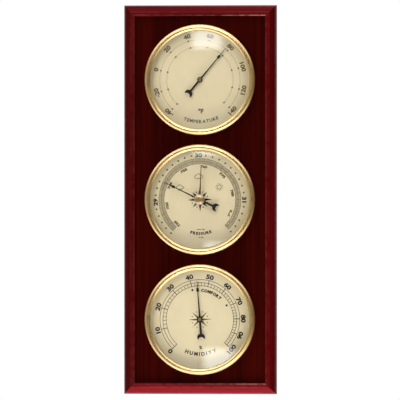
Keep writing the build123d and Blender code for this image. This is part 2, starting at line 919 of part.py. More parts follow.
def make_set_knob():
    """Turned knob in front of the glass, in one piece with its spindle."""
    neck_back = bush_front + knob_gap
    head_back = neck_back + knob_neck_height
    head_front = head_back + knob_height
    shoulder = set_height + set_thickness
    return turned(
        barometer_up,
        [
            (0, set_height),
            (spindle_end_radius, set_height),
            (spindle_end_radius, shoulder),
            (spindle_radius, shoulder),
            (spindle_radius, neck_back),
            (knob_neck_radius, neck_back),
            (knob_neck_radius, head_back),
            (knob_radius - knob_round / 2, head_back),
            (knob_radius, head_back + knob_round / 2),
            (knob_radius, head_front - knob_round),
            (knob_radius - knob_round, head_front),
            (0, head_front),
        ],
    )


def make_set_hand():
    """Slim spear on the spindle's inner end."""
    with BuildPart() as hand:
        with BuildSketch(pointer_plane(barometer_up, set_height, set_angle)):
            Circle(set_hub_radius)
            with BuildLine():
                Polyline(
                    (-set_base_width / 2, 0),
                    (set_base_width / 2, 0),
                    (set_tip_width / 2, set_length),
                    (-set_tip_width / 2, set_length),
                    close=True,
                )
            make_face()
            Circle(spindle_end_radius + hold_fit, mode=Mode.SUBTRACT)
        extrude(amount=set_thickness)
    return hand.part


os.makedirs("parts", exist_ok=True)

# Board
keep(make_rail((0, 0, 1), board_height / 2, board_width / 2), "rail_top")
keep(make_rail((0, 0, -1), board_height / 2, board_width / 2), "rail_bottom")
keep(make_rail((-1, 0, 0), board_width / 2, board_height / 2), "rail_left")
keep(make_rail((1, 0, 0), board_width / 2, board_height / 2), "rail_right")
keep(make_panel(), "panel")
keep(make_hanger_plate(), "hanger_plate")
keep(make_hanger_screws(), "hanger_screws")

# Pieces that all three instruments have
vents = [
    (vent_circle * cos(2 * pi * step / vent_count), vent_circle * sin(2 * pi * step / vent_count), vent_radius)
    for step in range(vent_count)
]
instruments = (
    ("thermometer", thermometer_up, thermometer_angle, pointer_length),
    ("barometer", barometer_up, barometer_angle, pointer_length),
    ("hygrometer", hygrometer_up, hygrometer_angle, hygrometer_pointer_length),
)
keep(make_case(thermometer_up, case_depth, []), "thermometer_case")
keep(make_case(barometer_up, barometer_depth, [(0, adjuster_up, access_radius)]), "barometer_case")
keep(make_case(hygrometer_up, case_depth, vents), "hygrometer_case")
for name, up, angle, length in instruments:
    keep(make_rubber_ring(up), f"{name}_rubber_ring")
    keep(make_dial(up), f"{name}_dial")
    keep(make_bush(up), f"{name}_bush")
    keep(make_reveal(up), f"{name}_reveal")
    keep(make_bezel(up), f"{name}_bezel")
    keep(make_pointer(up, angle, length), f"{name}_pointer")
    keep(make_hub_cap(up), f"{name}_hub_cap")
keep(make_glass(thermometer_up, 0), "thermometer_glass")
keep(make_glass(barometer_up, glass_bush_radius + hold_fit), "barometer_glass")
keep(make_glass(hygrometer_up, 0), "hygrometer_glass")

# Coil movements
for name, up in (("thermometer", thermometer_up), ("hygrometer", hygrometer_up)):
    keep(make_coil(up), f"{name}_coil")
    keep(make_coil_arbor(up), f"{name}_arbor")
    keep(make_bracket(up), f"{name}_bracket")

# Barometer movement
keep(make_base_plate(), "barometer_base_plate")
keep(make_capsule(), "barometer_capsule")
keep(make_stud(), "barometer_stud")
keep(make_main_spring(), "barometer_main_spring")
keep(make_lever(), "barometer_lever")
keep(make_rocker(), "barometer_rocker")
keep(make_rocker_bracket(), "barometer_rocker_bracket")
keep(make_chain(), "barometer_chain")
keep(make_hairspring(), "barometer_hairspring")
keep(make_barometer_arbor(), "barometer_arbor")
keep(make_bridge(), "barometer_bridge")
keep(make_pillars(), "barometer_pillars")
keep(make_adjuster(), "barometer_adjuster")

# Set hand
keep(make_glass_bush(), "set_hand_bush")
keep(make_set_knob(), "set_knob")
keep(make_set_hand(), "set_hand")
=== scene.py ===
"""Dresses a wall weather station: a framed board with a thermometer, a barometer and a hygrometer."""
import json
import math

import bmesh
import bpy
import mathutils
import numpy as np
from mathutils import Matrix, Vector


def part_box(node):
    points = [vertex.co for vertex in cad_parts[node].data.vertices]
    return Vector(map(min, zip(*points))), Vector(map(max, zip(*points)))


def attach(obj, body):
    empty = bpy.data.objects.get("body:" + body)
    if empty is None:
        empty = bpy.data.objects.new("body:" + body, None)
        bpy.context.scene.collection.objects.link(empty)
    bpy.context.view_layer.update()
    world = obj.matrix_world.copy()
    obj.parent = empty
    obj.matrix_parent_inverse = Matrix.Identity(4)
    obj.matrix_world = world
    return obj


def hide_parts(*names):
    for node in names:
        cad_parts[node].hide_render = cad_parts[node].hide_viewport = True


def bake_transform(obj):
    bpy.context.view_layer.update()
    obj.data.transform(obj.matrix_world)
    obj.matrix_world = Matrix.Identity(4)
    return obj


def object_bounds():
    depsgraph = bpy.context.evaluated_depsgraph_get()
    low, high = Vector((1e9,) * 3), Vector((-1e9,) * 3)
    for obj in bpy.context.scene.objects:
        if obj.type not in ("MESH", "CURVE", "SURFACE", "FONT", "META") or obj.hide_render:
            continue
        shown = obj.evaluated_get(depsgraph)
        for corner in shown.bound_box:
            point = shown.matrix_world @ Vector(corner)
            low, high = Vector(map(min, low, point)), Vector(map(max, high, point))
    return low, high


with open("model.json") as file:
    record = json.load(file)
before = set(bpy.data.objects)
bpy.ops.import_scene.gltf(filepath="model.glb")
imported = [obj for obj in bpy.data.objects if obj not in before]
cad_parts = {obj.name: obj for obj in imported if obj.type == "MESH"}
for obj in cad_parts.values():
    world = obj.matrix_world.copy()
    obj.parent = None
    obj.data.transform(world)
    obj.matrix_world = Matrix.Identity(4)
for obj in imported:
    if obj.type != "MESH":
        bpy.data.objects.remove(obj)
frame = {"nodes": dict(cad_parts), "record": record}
cad_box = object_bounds()

bl_info = {
    "name": "Wall Weather Station",
    "version": (1, 0, 0),
    "blender": (4, 5, 0),
    "location": "3D View > Sidebar > Weather Station",
    "description": "Dresses a framed board with a thermometer, a barometer and a hygrometer",
    "category": "Add Mesh",
}

INSTRUMENTS = ("thermometer", "barometer", "hygrometer")


def srgb(red, green, blue):
    """Colour as a screen shows it, 0 to 255, turned into the linear values that a shader takes."""
    shown = np.array((red, green, blue)) / 255
    linear = np.where(shown <= 0.04045, shown / 12.92, ((shown + 0.055) / 1.055) ** 2.4)
    return tuple(float(value) for value in linear)


def middle_up(node):
    """Height of the middle of a node of the frame."""
    low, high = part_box(node)
    return (low[2] + high[2]) / 2


DIAL_UP = {name: middle_up(f"{name}_bezel") for name in INSTRUMENTS}
BOARD_LOW, BOARD_HIGH = cad_box
PANEL_FACE = -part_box("panel")[0][1]
RAIL_FACE = -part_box("rail_top")[0][1]


# Sizes and colours that a user may change

def length(name, description, default):
    """Size in metres that a user may change."""
    return bpy.props.FloatProperty(
        name=name, description=description, default=default, min=0.0, unit="LENGTH", precision=5)


def colour(name, description, default):
    """Colour that a user may change."""
    return bpy.props.FloatVectorProperty(
        name=name, description=description, default=default, size=3, min=0.0, max=1.0, subtype="COLOR")


def power(name, description, default):
    """Power of a lamp that a user may change."""
    return bpy.props.FloatProperty(
        name=name, description=description, default=default, min=0.0, unit="POWER")


class BoardLook(bpy.types.PropertyGroup):
    """Sizes and colours of the frame and the panel."""

    width: length("Width", "Across the outside of the frame", BOARD_HIGH[0] - BOARD_LOW[0])
    height: length("Height", "From the bottom of the frame to its top", BOARD_HIGH[2] - BOARD_LOW[2])
    panel_face: length("Panel face", "Depth of the panel's front face from the wall", PANEL_FACE)
    rail_depth: length("Rail depth", "Depth of the frame's front flat from the wall", RAIL_FACE)
    edge_start: length("Edge start", "Depth at which the steep outer edge begins", 0.010)
    edge_end: length("Edge end", "Depth at which the steep outer edge meets the bevel", 0.015)
    edge_width: length("Edge width", "How far the steep outer edge leans in", 0.0014)
    bevel_width: length("Bevel width", "Width of the wide outer bevel", 0.0062)
    flat_width: length("Flat width", "Width of the frame's front flat", 0.0024)
    chamfer: length("Inner chamfer", "Chamfer from the front flat towards the panel", 0.0018)
    lip: length("Lip", "How far the frame laps over the panel", 0.0040)
    softness: length("Softness", "Rounding of the frame's ridges", 0.0009)
    panel_tone: colour("Panel", "Main colour of the dark panel", srgb(53, 5, 2))
    # Painted light and shade: the rails are one wood, with the left rail darker against the lamp at the upper
    # left and the top and, more, the bottom rail lighter as if lit from above and below.
    left_tone: colour("Left rail", "Main colour of the left rail", srgb(76, 9, 10))
    right_tone: colour("Right rail", "Main colour of the right rail", srgb(88, 7, 9))
    top_tone: colour("Top rail", "Main colour of the top rail", srgb(88, 11, 14))
    bottom_tone: colour("Bottom rail", "Main colour of the bottom rail", srgb(110, 20, 26))
    # Painted glint: a light line along the inner chamfer that stands in for its reflection.
    bare_tone: colour("Bare edge", "Wood that shows where the inner chamfer is rubbed", srgb(176, 132, 112))


class InstrumentLook(bpy.types.PropertyGroup):
    """Sizes and colours of the bezels, the glasses, the dial plates, the pointers and the set knob."""

    bezel_radius: length("Bezel radius", "Outside of a bezel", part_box("barometer_bezel")[1][0])
    opening_radius: length("Opening radius", "Inside edge of a bezel's roll", 0.0510)
    seat_radius: length("Seat radius", "Inside of a bezel's wall", 0.0540)
    shoulder: length("Shoulder", "Height at which the bezel's roll begins, above the panel", 0.0060)
    roll_back: length("Roll back", "Underside of the bezel's roll, above the panel", 0.0078)
    roll_top: length("Roll top", "Top of the bezel's roll, above the panel", 0.0087)
    glass_radius: length("Glass radius", "Rim of a glass", 0.0538)
    dome_radius: length("Dome radius", "Edge of a glass's dome", 0.0506)
    dome_rise: length("Dome rise", "How far a glass's dome rises above its rim", 0.0060)
    glass_back: length("Glass back", "Back of a glass's rim, above the panel", 0.0056)
    glass_front: length("Glass front", "Front of a glass's rim, above the panel", 0.0076)
    glass_hole: length("Glass hole", "Hole in the barometer's glass for the set knob", 0.00265)
    knob_radius: length("Knob radius", "Head of the set knob", 0.0054)
    knob_top: length("Knob top", "Front of the set knob, above the panel", 0.0207)
    knob_back: length("Knob back", "Underside of the set knob's head, above the panel", 0.0163)
    brass_tone: colour("Brass", "Colour of the polished brass", srgb(236, 189, 104))
    dark_brass_tone: colour("Dark brass", "Colour of the set hand and the hub caps", srgb(150, 122, 74))
    pointer_tone: colour("Pointers", "Colour of the pointers' lacquer", srgb(36, 20, 17))
    enamel_tone: colour("Enamel", "Colour of the dial plates", srgb(247, 228, 186))


class PrintLook(bpy.types.PropertyGroup):
    """Sizes and colours of what is printed on the dials."""

    dial_front: length("Dial front", "Front of a dial plate, above the panel", 0.0018)
    film: length("Film", "How far the print stands in front of its dial", 0.00004)
    tilt: bpy.props.FloatProperty(
        name="Tilt", description="How far the prints are turned on their dials", default=math.radians(-1.7),
        subtype="ANGLE", unit="ROTATION")
    ink: colour("Ink", "Colour of the black print", srgb(24, 20, 16))
    pale_ink: colour("Pale ink", "Colour of the fine print and the thermometer's numbers", srgb(112, 94, 58))


class StageLook(bpy.types.PropertyGroup):
    """Camera and light."""

    distance: length("Camera distance", "From the wall to the camera", 4.0)
    camera_right: length("Camera to the right", "From the board's middle line to the camera", 0.2)
    camera_drop: length("Camera drop", "How far the camera stands below the board's middle", 0.00035)
    view_width: length("View width", "Width of the picture at the frame's front", 0.4104)
    floor_drop: length("Floor drop", "From the board's middle down to the floor", 0.9)
    fill: bpy.props.FloatProperty(name="Fill", description="Even light from all round", default=0.4, min=0.0)
    top_power: power("Top lamp", "Power of the soft lamp above", 5.6)
    left_power: power("Left lamp", "Power of the soft lamp at the upper left", 4.5)
    bottom_power: power("Bottom lamp", "Power of the soft lamp below", 8.2)


# Surfaces

def grid_faces(rows, columns, wrap_rows=False, wrap_columns=False):
    """Four-sided faces that join each point of a grid to its next neighbours.

    A wrapped direction also joins its last line of points to its first."""
    row, column = np.meshgrid(
        np.arange(rows if wrap_rows else rows - 1),
        np.arange(columns if wrap_columns else columns - 1), indexing="ij")
    next_row = (row + 1) % rows
    next_column = (column + 1) % columns
    corners = (row * columns + column, next_row * columns + column,
               next_row * columns + next_column, row * columns + next_column)
    return np.stack(corners, axis=-1).reshape(-1, 4)


def unit(vector):
    """The vector at length one."""
    return vector / np.linalg.norm(vector)


def rounded_outline(corners, steps=5):
    """Closed outline through (across, depth, rounding) corners.

    A rounded corner is an arc that touches both of its sides: its centre lies on the corner's middle line,
    rounding / sin(half the corner's angle) away."""
    corners = np.array(corners)
    places = corners[:, :2]
    outline = []
    for before, place, after, rounding in zip(
            np.roll(places, 1, axis=0), places, np.roll(places, -1, axis=0), corners[:, 2]):
        if rounding == 0:
            outline.append(place[None])
            continue
        towards_after = unit(after - place)
        middle = unit(unit(before - place) + towards_after)
        half_angle = math.acos(float(np.clip(middle @ towards_after, -1, 1)))
        aside = unit(towards_after - (towards_after @ middle) * middle)
        swing = math.pi / 2 - half_angle
        turn = np.linspace(-swing, swing, steps)[:, None]
        centre = place + middle * rounding / math.sin(half_angle)
        outline.append(centre + rounding * (np.sin(turn) * aside - np.cos(turn) * middle))
    return np.concatenate(outline)


def arc(centre, radius, start, end, steps):
    """Points of an arc: centre + radius * (cos, sin) of an angle that runs from start to end, in degrees."""
    turn = np.radians(np.linspace(start, end, steps))
    return np.array(centre) + radius * np.stack([np.cos(turn), np.sin(turn)], axis=-1)


def arc_through(start, middle, end, steps):
    """Arc through three points: its centre is as far from each of them."""
    start, middle, end = (np.array(point) for point in (start, middle, end))
    rows = 2 * np.array([middle - start, end - start])
    centre = np.linalg.solve(rows, [middle @ middle - start @ start, end @ end - start @ start])
    angles = [math.degrees(math.atan2(*(point - centre)[::-1])) for point in (start, end)]
    return arc(centre, np.linalg.norm(start - centre), *angles, steps)


def turned(profile, up, steps=192, closed=False):
    """Surface of a (radius, height) profile carried round a dial's centre line, as points and faces.

    A point is at radius * sin(turn) across, panel face + height out from the wall and
    the dial's height + radius * cos(turn) up. A closed profile joins its last point to its first."""
    face = bpy.context.scene.station_board.panel_face
    turn = np.linspace(0, 2 * np.pi, steps, endpoint=False)
    radius, height = np.asarray(profile).T[:, :, None]
    across = radius * np.sin(turn)
    out = -(face + height) * np.ones_like(turn)
    upward = up + radius * np.cos(turn)
    points = np.stack([across, out, upward], axis=-1).reshape(-1, 3)
    return points, grid_faces(len(profile), steps, wrap_rows=closed, wrap_columns=True)


def make_piece(name, points, faces, material, body, stands_for=(), solid=True, sharp_angle=32):
    """Object from points and faces that rides on a body, or on none.

    A solid has its doubled points merged and its faces turned outwards."""
    mesh = bpy.data.meshes.new(name)
    mesh.from_pydata(points, [], faces)
    if solid:
        work = bmesh.new()
        work.from_mesh(mesh)
        bmesh.ops.remove_doubles(work, verts=work.verts, dist=1e-7)
        bmesh.ops.recalc_face_normals(work, faces=work.faces)
        work.to_mesh(mesh)
        work.free()
        mesh.shade_smooth()
        mesh.set_sharp_from_angle(angle=math.radians(sharp_angle))
    mesh.materials.append(material)
    piece = bpy.data.objects.new(name, mesh)
    bpy.context.scene.collection.objects.link(piece)
    if body:
        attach(piece, body)
    if stands_for:
        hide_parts(*stands_for)
    return piece


def dress(material, *nodes):
    """Give nodes of the frame a material in place of their plain one."""
    for node in nodes:
        slots = frame["nodes"][node].data.materials
        slots.clear()
        slots.append(material)


# Finishes

class Finish:
    """Nodes of one material, with short calls that add a node and feed its sockets."""

    def __init__(self, name):
        self.material = bpy.data.materials.new(name)
        self.material.use_nodes = True
        self.tree = self.material.node_tree
        self.shader = self.tree.nodes["Principled BSDF"]
        self.place = self.node("ShaderNodeTexCoord").outputs["Object"]

    def feed(self, node, socket, value):
        """Link a socket to another node's output, or set its own value."""
        if isinstance(value, bpy.types.NodeSocket):
            self.tree.links.new(value, node.inputs[socket])
        else:
            node.inputs[socket].default_value = value

    def node(self, kind, feeds=(), **settings):
        """New node with its settings made and its sockets fed."""
        made = self.tree.nodes.new(kind)
        for setting, value in settings.items():
            setattr(made, setting, value)
        for socket, value in dict(feeds).items():
            self.feed(made, socket, value)
        return made

    def shade(self, **values):
        """Feed the main shader; a name's underscores stand for spaces."""
        for name, value in values.items():
            self.feed(self.shader, name.replace("_", " "), value)

    def vector(self, operation, first, second=(0, 0, 0)):
        """Result of one step of vector arithmetic: a number for a length, and else a vector."""
        made = self.node("ShaderNodeVectorMath", {0: first, 1: second}, operation=operation)
        return made.outputs["Value" if operation == "LENGTH" else "Vector"]

    def noise(self, waves, detail=4.0, roughness=0.55):
        """Soft noise with waves to the metre, one number for all axes or one for each."""
        stretch = tuple(float(value) for value in np.broadcast_to(waves, 3))
        feeds = {"Vector": self.vector("MULTIPLY", self.place, stretch), "Scale": 1.0,
                 "Detail": detail, "Roughness": roughness}
        return self.node("ShaderNodeTexNoise", feeds).outputs[0]

    def ramp(self, factor, stops):
        """Colour that runs through (position, colour) stops as the factor grows."""
        made = self.node("ShaderNodeValToRGB", {0: factor})
        elements = made.color_ramp.elements
        while len(elements) < len(stops):
            elements.new(1.0)
        for element, (position, tone) in zip(elements, stops):
            element.position = position
            element.color = (*tone, 1.0)
        return made.outputs[0]

    def span(self, value, low, high, new_low=0.0, new_high=1.0):
        """Number that runs smoothly from new_low to new_high as value goes from low to high."""
        feeds = {0: value, 1: low, 2: high, 3: new_low, 4: new_high}
        return self.node("ShaderNodeMapRange", feeds, interpolation_type="SMOOTHSTEP").outputs[0]

    def sum(self, operation, first, second=0.0):
        """Result of one step of arithmetic."""
        return self.node("ShaderNodeMath", {0: first, 1: second}, operation=operation).outputs[0]

    def weigh(self, first, second, share):
        """Sum of two numbers in which the second has a share and the first has the rest."""
        rest = self.sum("MULTIPLY", first, 1 - share)
        return self.sum("ADD", rest, self.sum("MULTIPLY", second, share))

    def mix(self, factor, first, second):
        """Second colour laid over the first by a factor."""
        made = self.node("ShaderNodeMix", {0: factor}, data_type="RGBA")
        for socket, tone in ((6, first), (7, second)):
            self.feed(made, socket, tone if isinstance(tone, bpy.types.NodeSocket) else (*tone, 1.0))
        return made.outputs[2]

    def choose(self, factor, first, second):
        """First shader, or the second where the factor is one."""
        return self.node("ShaderNodeMixShader", {0: factor, 1: first, 2: second}).outputs[0]

    def surface(self, shader):
        """Make a shader the whole of the material's surface."""
        self.feed(self.tree.nodes["Material Output"], "Surface", shader)

    def axis(self, letter):
        """One of the Object coordinates."""
        return self.node("ShaderNodeSeparateXYZ", {0: self.place}).outputs[letter]

    def reach(self, up):
        """Distance from the line through a dial's centre, which is up from the board's middle."""
        offset = self.vector("SUBTRACT", self.place, (0, 0, up))
        return self.vector("LENGTH", self.vector("MULTIPLY", offset, (1, 0, 1)))

    def rings(self, up, waves):
        """Uneven turning lines round a dial's centre, with waves to the metre."""
        feeds = {"W": self.reach(up), "Scale": waves, "Detail": 2.0}
        return self.node("ShaderNodeTexNoise", feeds, noise_dimensions="1D").outputs[0]

    def bump(self, height, strength, distance):
        """Normal that follows a height."""
        feeds = {"Strength": strength, "Distance": distance, "Height": height}
        return self.node("ShaderNodeBump", feeds).outputs[0]


def shaded(tone, share):
    """A colour at a share of its strength, which lightens it where the share is over one."""
    return tuple(min(1.0, value * share) for value in tone)


def wood(name, tone, grain, shine, wear_and_highlights=None):
    """Lacquered wood: broad bands, fine streaks along the grain, small dark pores and, where given, lighter
    lines along the ridges, which are worn lacquer with a painted highlight, and a painted glint on the inner
    chamfer.

    grain is the axis that it runs along and shine its specular level. The last argument is an axis and, for
    each lighter line, its place either side of the middle, half its width, its colour, and how much of that
    shows at the near and the far end of the grain."""
    finish = Finish(name)
    along = {"X": 0, "Z": 2}[grain]

    def stretch(across, lengthways):
        """Waves to the metre across the grain and along it."""
        waves = [across] * 3
        waves[along] = lengthways
        return waves

    bands = finish.noise(stretch(75.0, 3.0), detail=3.0)
    streaks = finish.noise(stretch(480.0, 5.0), detail=5.0, roughness=0.65)
    pores = finish.noise(stretch(1500.0, 45.0), detail=2.0)
    figure = finish.weigh(bands, streaks, 0.55)
    shade = finish.ramp(figure, [(0.34, shaded(tone, 0.48)), (0.5, tone), (0.68, shaded(tone, 1.6))])
    pitted = finish.span(pores, 0.6, 0.75)
    shade = finish.mix(finish.sum("MULTIPLY", pitted, 0.6), shade, shaded(tone, 0.35))
    # Lighter lines along the ridges: worn lacquer with a painted highlight; the line on the inner chamfer is
    # a painted glint.
    if wear_and_highlights:
        axis, ridges = wear_and_highlights
        half_fade = 0.05
        across = finish.sum("ABSOLUTE", finish.axis(axis))
        patches = finish.span(finish.noise(160.0), 0.3, 0.62)
        for place, half_width, wear_and_highlight_tone, near, far in ridges:
            away = finish.sum("ABSOLUTE", finish.sum("SUBTRACT", across, place))
            ridge = finish.span(away, half_width / 8, half_width, 1.0, 0.0)
            share = finish.span(finish.axis(grain), -half_fade, half_fade, near, far)
            rubbed_and_painted_light = finish.sum("MULTIPLY", finish.sum("MULTIPLY", ridge, patches), share)
            shade = finish.mix(rubbed_and_painted_light, shade, wear_and_highlight_tone)
    finish.shade(Base_Color=shade, Roughness=finish.span(figure, 0.3, 0.7, 0.34, 0.22))
    finish.shade(Specular_IOR_Level=shine)
    finish.shade(Normal=finish.bump(finish.sum("SUBTRACT", 1.0, pitted), strength=0.25, distance=0.0001))
    return finish.material


def brass(name, tone, up=None, rough=0.3):
    """Lacquered brass with faint tarnish and a fine grain, or turning lines round the centre at up."""
    finish = Finish(name)
    tarnish = finish.noise(90.0, detail=5.0)
    lines = finish.noise(900.0, detail=2.0) if up is None else finish.rings(up, 4200.0)
    stops = [(0.3, shaded(tone, 0.82)), (0.55, tone), (0.75, shaded(tone, 1.06))]
    finish.shade(Base_Color=finish.ramp(tarnish, stops), Metallic=1.0)
    finish.shade(Roughness=finish.span(tarnish, 0.3, 0.7, rough + 0.04, rough - 0.04))
    finish.shade(Coat_Weight=1.0, Coat_Roughness=0.25, Coat_IOR=2.0)
    finish.shade(Normal=finish.bump(lines, strength=0.012, distance=0.0001))
    return finish.material


def enamel(name, tone, up):
    """Cream dial paint, faintly mottled, with painted shade that makes it darker and greyer towards the rim
    under the bezel.
    """
    finish = Finish(name)
    mottle = finish.noise(55.0, detail=4.0)
    fleck = finish.noise(1100.0, detail=2.0)
    # Painted shade: darker and greyer towards the rim, where the bezel shades the dial.
    rim_painted_shade = (0.80 * tone[0], 0.80 * tone[1], 0.76 * tone[2])
    fade_start, fade_end = 0.038, 0.052
    shade = finish.ramp(mottle, [(0.3, shaded(tone, 0.95)), (0.55, tone), (0.75, shaded(tone, 1.03))])
    shade = finish.mix(finish.span(finish.reach(up), fade_start, fade_end, 0.0, 0.9), shade, rim_painted_shade)
    finish.shade(Base_Color=shade, Roughness=finish.span(mottle, 0.3, 0.7, 0.5, 0.4))
    finish.shade(Specular_IOR_Level=0.25, Normal=finish.bump(fleck, strength=0.04, distance=0.0001))
    return finish.material


def speckled(name, tone, waves, rough, metallic=0.0, bump=0.1, shine=0.4):
    """Plain paint, metal or rubber whose tone and roughness drift with soft noise, with a fine grain."""
    finish = Finish(name)
    drift = finish.noise(waves, detail=5.0)
    grain = finish.noise(12 * waves, detail=2.0)
    stops = [(0.3, shaded(tone, 0.75)), (0.5, tone), (0.72, shaded(tone, 1.25))]
    finish.shade(Base_Color=finish.ramp(drift, stops), Metallic=metallic, Specular_IOR_Level=shine)
    finish.shade(Roughness=finish.span(grain, 0.3, 0.7, rough + 0.08, rough - 0.06))
    finish.shade(Normal=finish.bump(grain, strength=bump, distance=0.0001))
    return finish.material


def spun_zinc(name, tone, up):
    """Zinc-plated sheet spun to shape: fine lines run round the centre, under faint clouds."""
    finish = Finish(name)
    clouds = finish.noise(30.0, detail=3.0)
    lines = finish.rings(up, 900.0)
    stops = [(0.35, shaded(tone, 0.8)), (0.5, tone), (0.65, shaded(tone, 1.12))]
    finish.shade(Base_Color=finish.ramp(finish.weigh(clouds, lines, 0.65), stops), Metallic=0.9)
    finish.shade(Roughness=finish.span(lines, 0.3, 0.7, 0.46, 0.34))
    finish.shade(Normal=finish.bump(lines, strength=0.08, distance=0.0002))
    return finish.material


def clear_glass():
    """Clear glass with faint smudges, which lets lamps and even light through to the dial."""
    finish = Finish("clear_glass")
    smudge = finish.noise(45.0, detail=6.0)
    finish.shade(Base_Color=(1.0, 1.0, 1.0, 1.0), IOR=1.45, Transmission_Weight=1.0)
    finish.shade(Roughness=finish.span(smudge, 0.42, 0.75, 0.0, 0.02))
    path = finish.node("ShaderNodeLightPath").outputs
    passing = finish.sum("MAXIMUM", path["Is Shadow Ray"], path["Is Diffuse Ray"])
    clear = finish.node("ShaderNodeBsdfTransparent", {0: (0.94, 0.95, 0.94, 1.0)}).outputs[0]
    finish.surface(finish.choose(passing, finish.shader.outputs[0], clear))
    return finish.material


# Print on the dials

def lettering(words, height, weight, wide):
    """Words as flat triangles centred on zero, height tall and stretched wide times across.

    weight thickens the strokes."""
    curve = bpy.data.curves.new("lettering", "FONT")
    curve.body = words
    curve.resolution_u = 3
    curve.fill_mode = "FRONT"
    curve.offset = weight
    holder = bpy.data.objects.new("lettering", curve)
    mesh = bpy.data.meshes.new_from_object(holder)
    mesh.calc_loop_triangles()
    points = np.empty(3 * len(mesh.vertices))
    faces = np.empty(3 * len(mesh.loop_triangles), dtype=int)
    mesh.vertices.foreach_get("co", points)
    mesh.loop_triangles.foreach_get("vertices", faces)
    points = points.reshape(-1, 3)[:, :2]
    bpy.data.objects.remove(holder)
    bpy.data.curves.remove(curve)
    bpy.data.meshes.remove(mesh)
    low, high = points.min(axis=0), points.max(axis=0)
    scale = height / (high[1] - low[1])
    return (points - (low + high) / 2) * (wide * scale, scale), faces.reshape(-1, 3)


def compass(angle):
    """Direction (across, up) of an angle in degrees, clockwise from the top."""
    turn = math.radians(angle)
    return np.array((math.sin(turn), math.cos(turn)))


class Print:
    """Flat print of one dial, gathered as (across, up) points in metres from the dial's centre."""

    def __init__(self):
        self.points = []
        self.faces = []
        self.count = 0

    def add(self, points, faces):
        """Lay more points and faces on the dial."""
        self.points.append(points)
        self.faces.extend((np.asarray(faces) + self.count).tolist())
        self.count += len(points)

    def stroke(self, path, width, closed=False):
        """Line of even width along a path: each point goes half the width to either side there."""
        path = np.asarray(path)
        ahead = np.roll(path, -1, axis=0) - np.roll(path, 1, axis=0)
        if not closed:
            ahead[0] = path[1] - path[0]
            ahead[-1] = path[-1] - path[-2]
        ahead = ahead / np.linalg.norm(ahead, axis=1, keepdims=True)
        aside = np.stack([-ahead[:, 1], ahead[:, 0]], axis=-1) * width / 2
        self.add(np.concatenate([path + aside, path - aside]), grid_faces(2, len(path), wrap_columns=closed))

    def curve(self, radius, start, end, width):
        """Line of even width round the dial, from one angle to another."""
        turn = np.radians(np.linspace(start, end, int(abs(end - start) / 2) + 2))
        self.stroke(radius * np.stack([np.sin(turn), np.cos(turn)], axis=-1), width)

    def spoke(self, angle, inner, outer, width):
        """Line of even width away from the centre."""
        self.stroke([inner * compass(angle), outer * compass(angle)], width)

    def dot(self, angle, distance, radius, sides=12):
        """Round dot."""
        rim = arc(distance * compass(angle), radius, 0, 360 - 360 / sides, sides)
        self.add(rim, [list(range(sides))])

    def words(self, words, angle, distance, height, weight, wide=1.0, inward=False):
        """Straight words across the line from the centre; their tops point outwards, or inwards."""
        points, faces = lettering(words, height, weight, wide)
        up = compass(angle + (180 if inward else 0))
        across = np.array((up[1], -up[0]))
        self.add(distance * compass(angle) + points[:, :1] * across + points[:, 1:] * up, faces)

    def curved_words(self, words, angle, distance, height, weight, gap, inward=False):
        """Words bent round the dial: each letter's angle is its place along the line over the distance."""
        outlines = [lettering(letter, height, weight, 1.0)[0] for letter in words]
        widths = np.array([np.ptp(points[:, 0]) for points in outlines])
        places = np.cumsum(widths + gap) - gap - widths / 2
        places = places - (widths.sum() + gap * (len(words) - 1)) / 2
        turns = np.degrees(places / distance) * (-1 if inward else 1)
        for letter, turn in zip(words, turns):
            self.words(letter, angle + turn, distance, height, weight, inward=inward)

    def make(self, name, up, material, films=1):
        """Object of the whole print, so many films in front of its dial."""
        look = bpy.context.scene.station_print
        board = bpy.context.scene.station_board
        flat = np.concatenate(self.points)
        out = np.full(len(flat), -(board.panel_face + look.dial_front + films * look.film))
        points = np.stack([flat[:, 0], out, up + flat[:, 1]], axis=-1)
        make_piece(name, points, self.faces, material, "board", solid=False)


def compass_rose(ink, reach, turn, spread):
    """Eight slim rays, the four main ones longer, with a small dot between each two.

    Lengths are shares of its reach, and spread is half a ray's greatest width."""
    short_ray, widest_place, dot_place, dot_size = 0.88, 0.22, 0.68, 0.05
    for index in range(8):
        angle = turn + 45 * index
        tip = reach * (1.0 if index % 2 == 0 else short_ray) * compass(angle)
        aside = spread * reach * compass(angle + 90)
        widest = widest_place * reach * compass(angle)
        ink.add(np.array([np.zeros(2), widest + aside, tip, widest - aside]), [[0, 1, 2, 3]])
        ink.dot(angle + 22.5, dot_place * reach, dot_size * reach, sides=8)


def cloud_path(middle, size):
    """Outline of a cloud: three arcs that meet over a flat base, with size from its middle to its end."""
    left = arc((-0.52, -0.08), 0.36, 262, 118, 8)
    crown = arc((-0.06, 0.2), 0.42, 165, 25, 8)
    right = arc((0.52, -0.08), 0.36, 80, -82, 8)
    return middle + size * np.concatenate([left, crown, right])


def weather_signs(ink, distance):
    """A cloud, a cloud with rain, and a sun with twelve rays, all as far from the dial's centre."""
    line = 0.0005
    cloud, rain, sun = (distance * compass(angle) for angle in (-3, -60, 57))
    cloud_lift, foot_drop, slant = 0.0009, 0.0030, (0.0007, 0.0018)
    disc, ray_start, ray_end = 0.0019, 0.0027, 0.0040
    ink.stroke(cloud_path(cloud, size=0.0046), line, closed=True)
    ink.stroke(cloud_path(rain + (0, cloud_lift), size=0.0041), line, closed=True)
    for across in (-0.0018, -0.0004, 0.0010):
        foot = rain + (across, -foot_drop)
        ink.stroke([foot, foot + slant], line)
    ink.stroke(arc(sun, disc, 0, 345, 24), line, closed=True)
    for index in range(12):
        ray = compass(30 * index)
        ink.stroke([sun + ray_start * ray, sun + ray_end * ray], line)


# Pieces

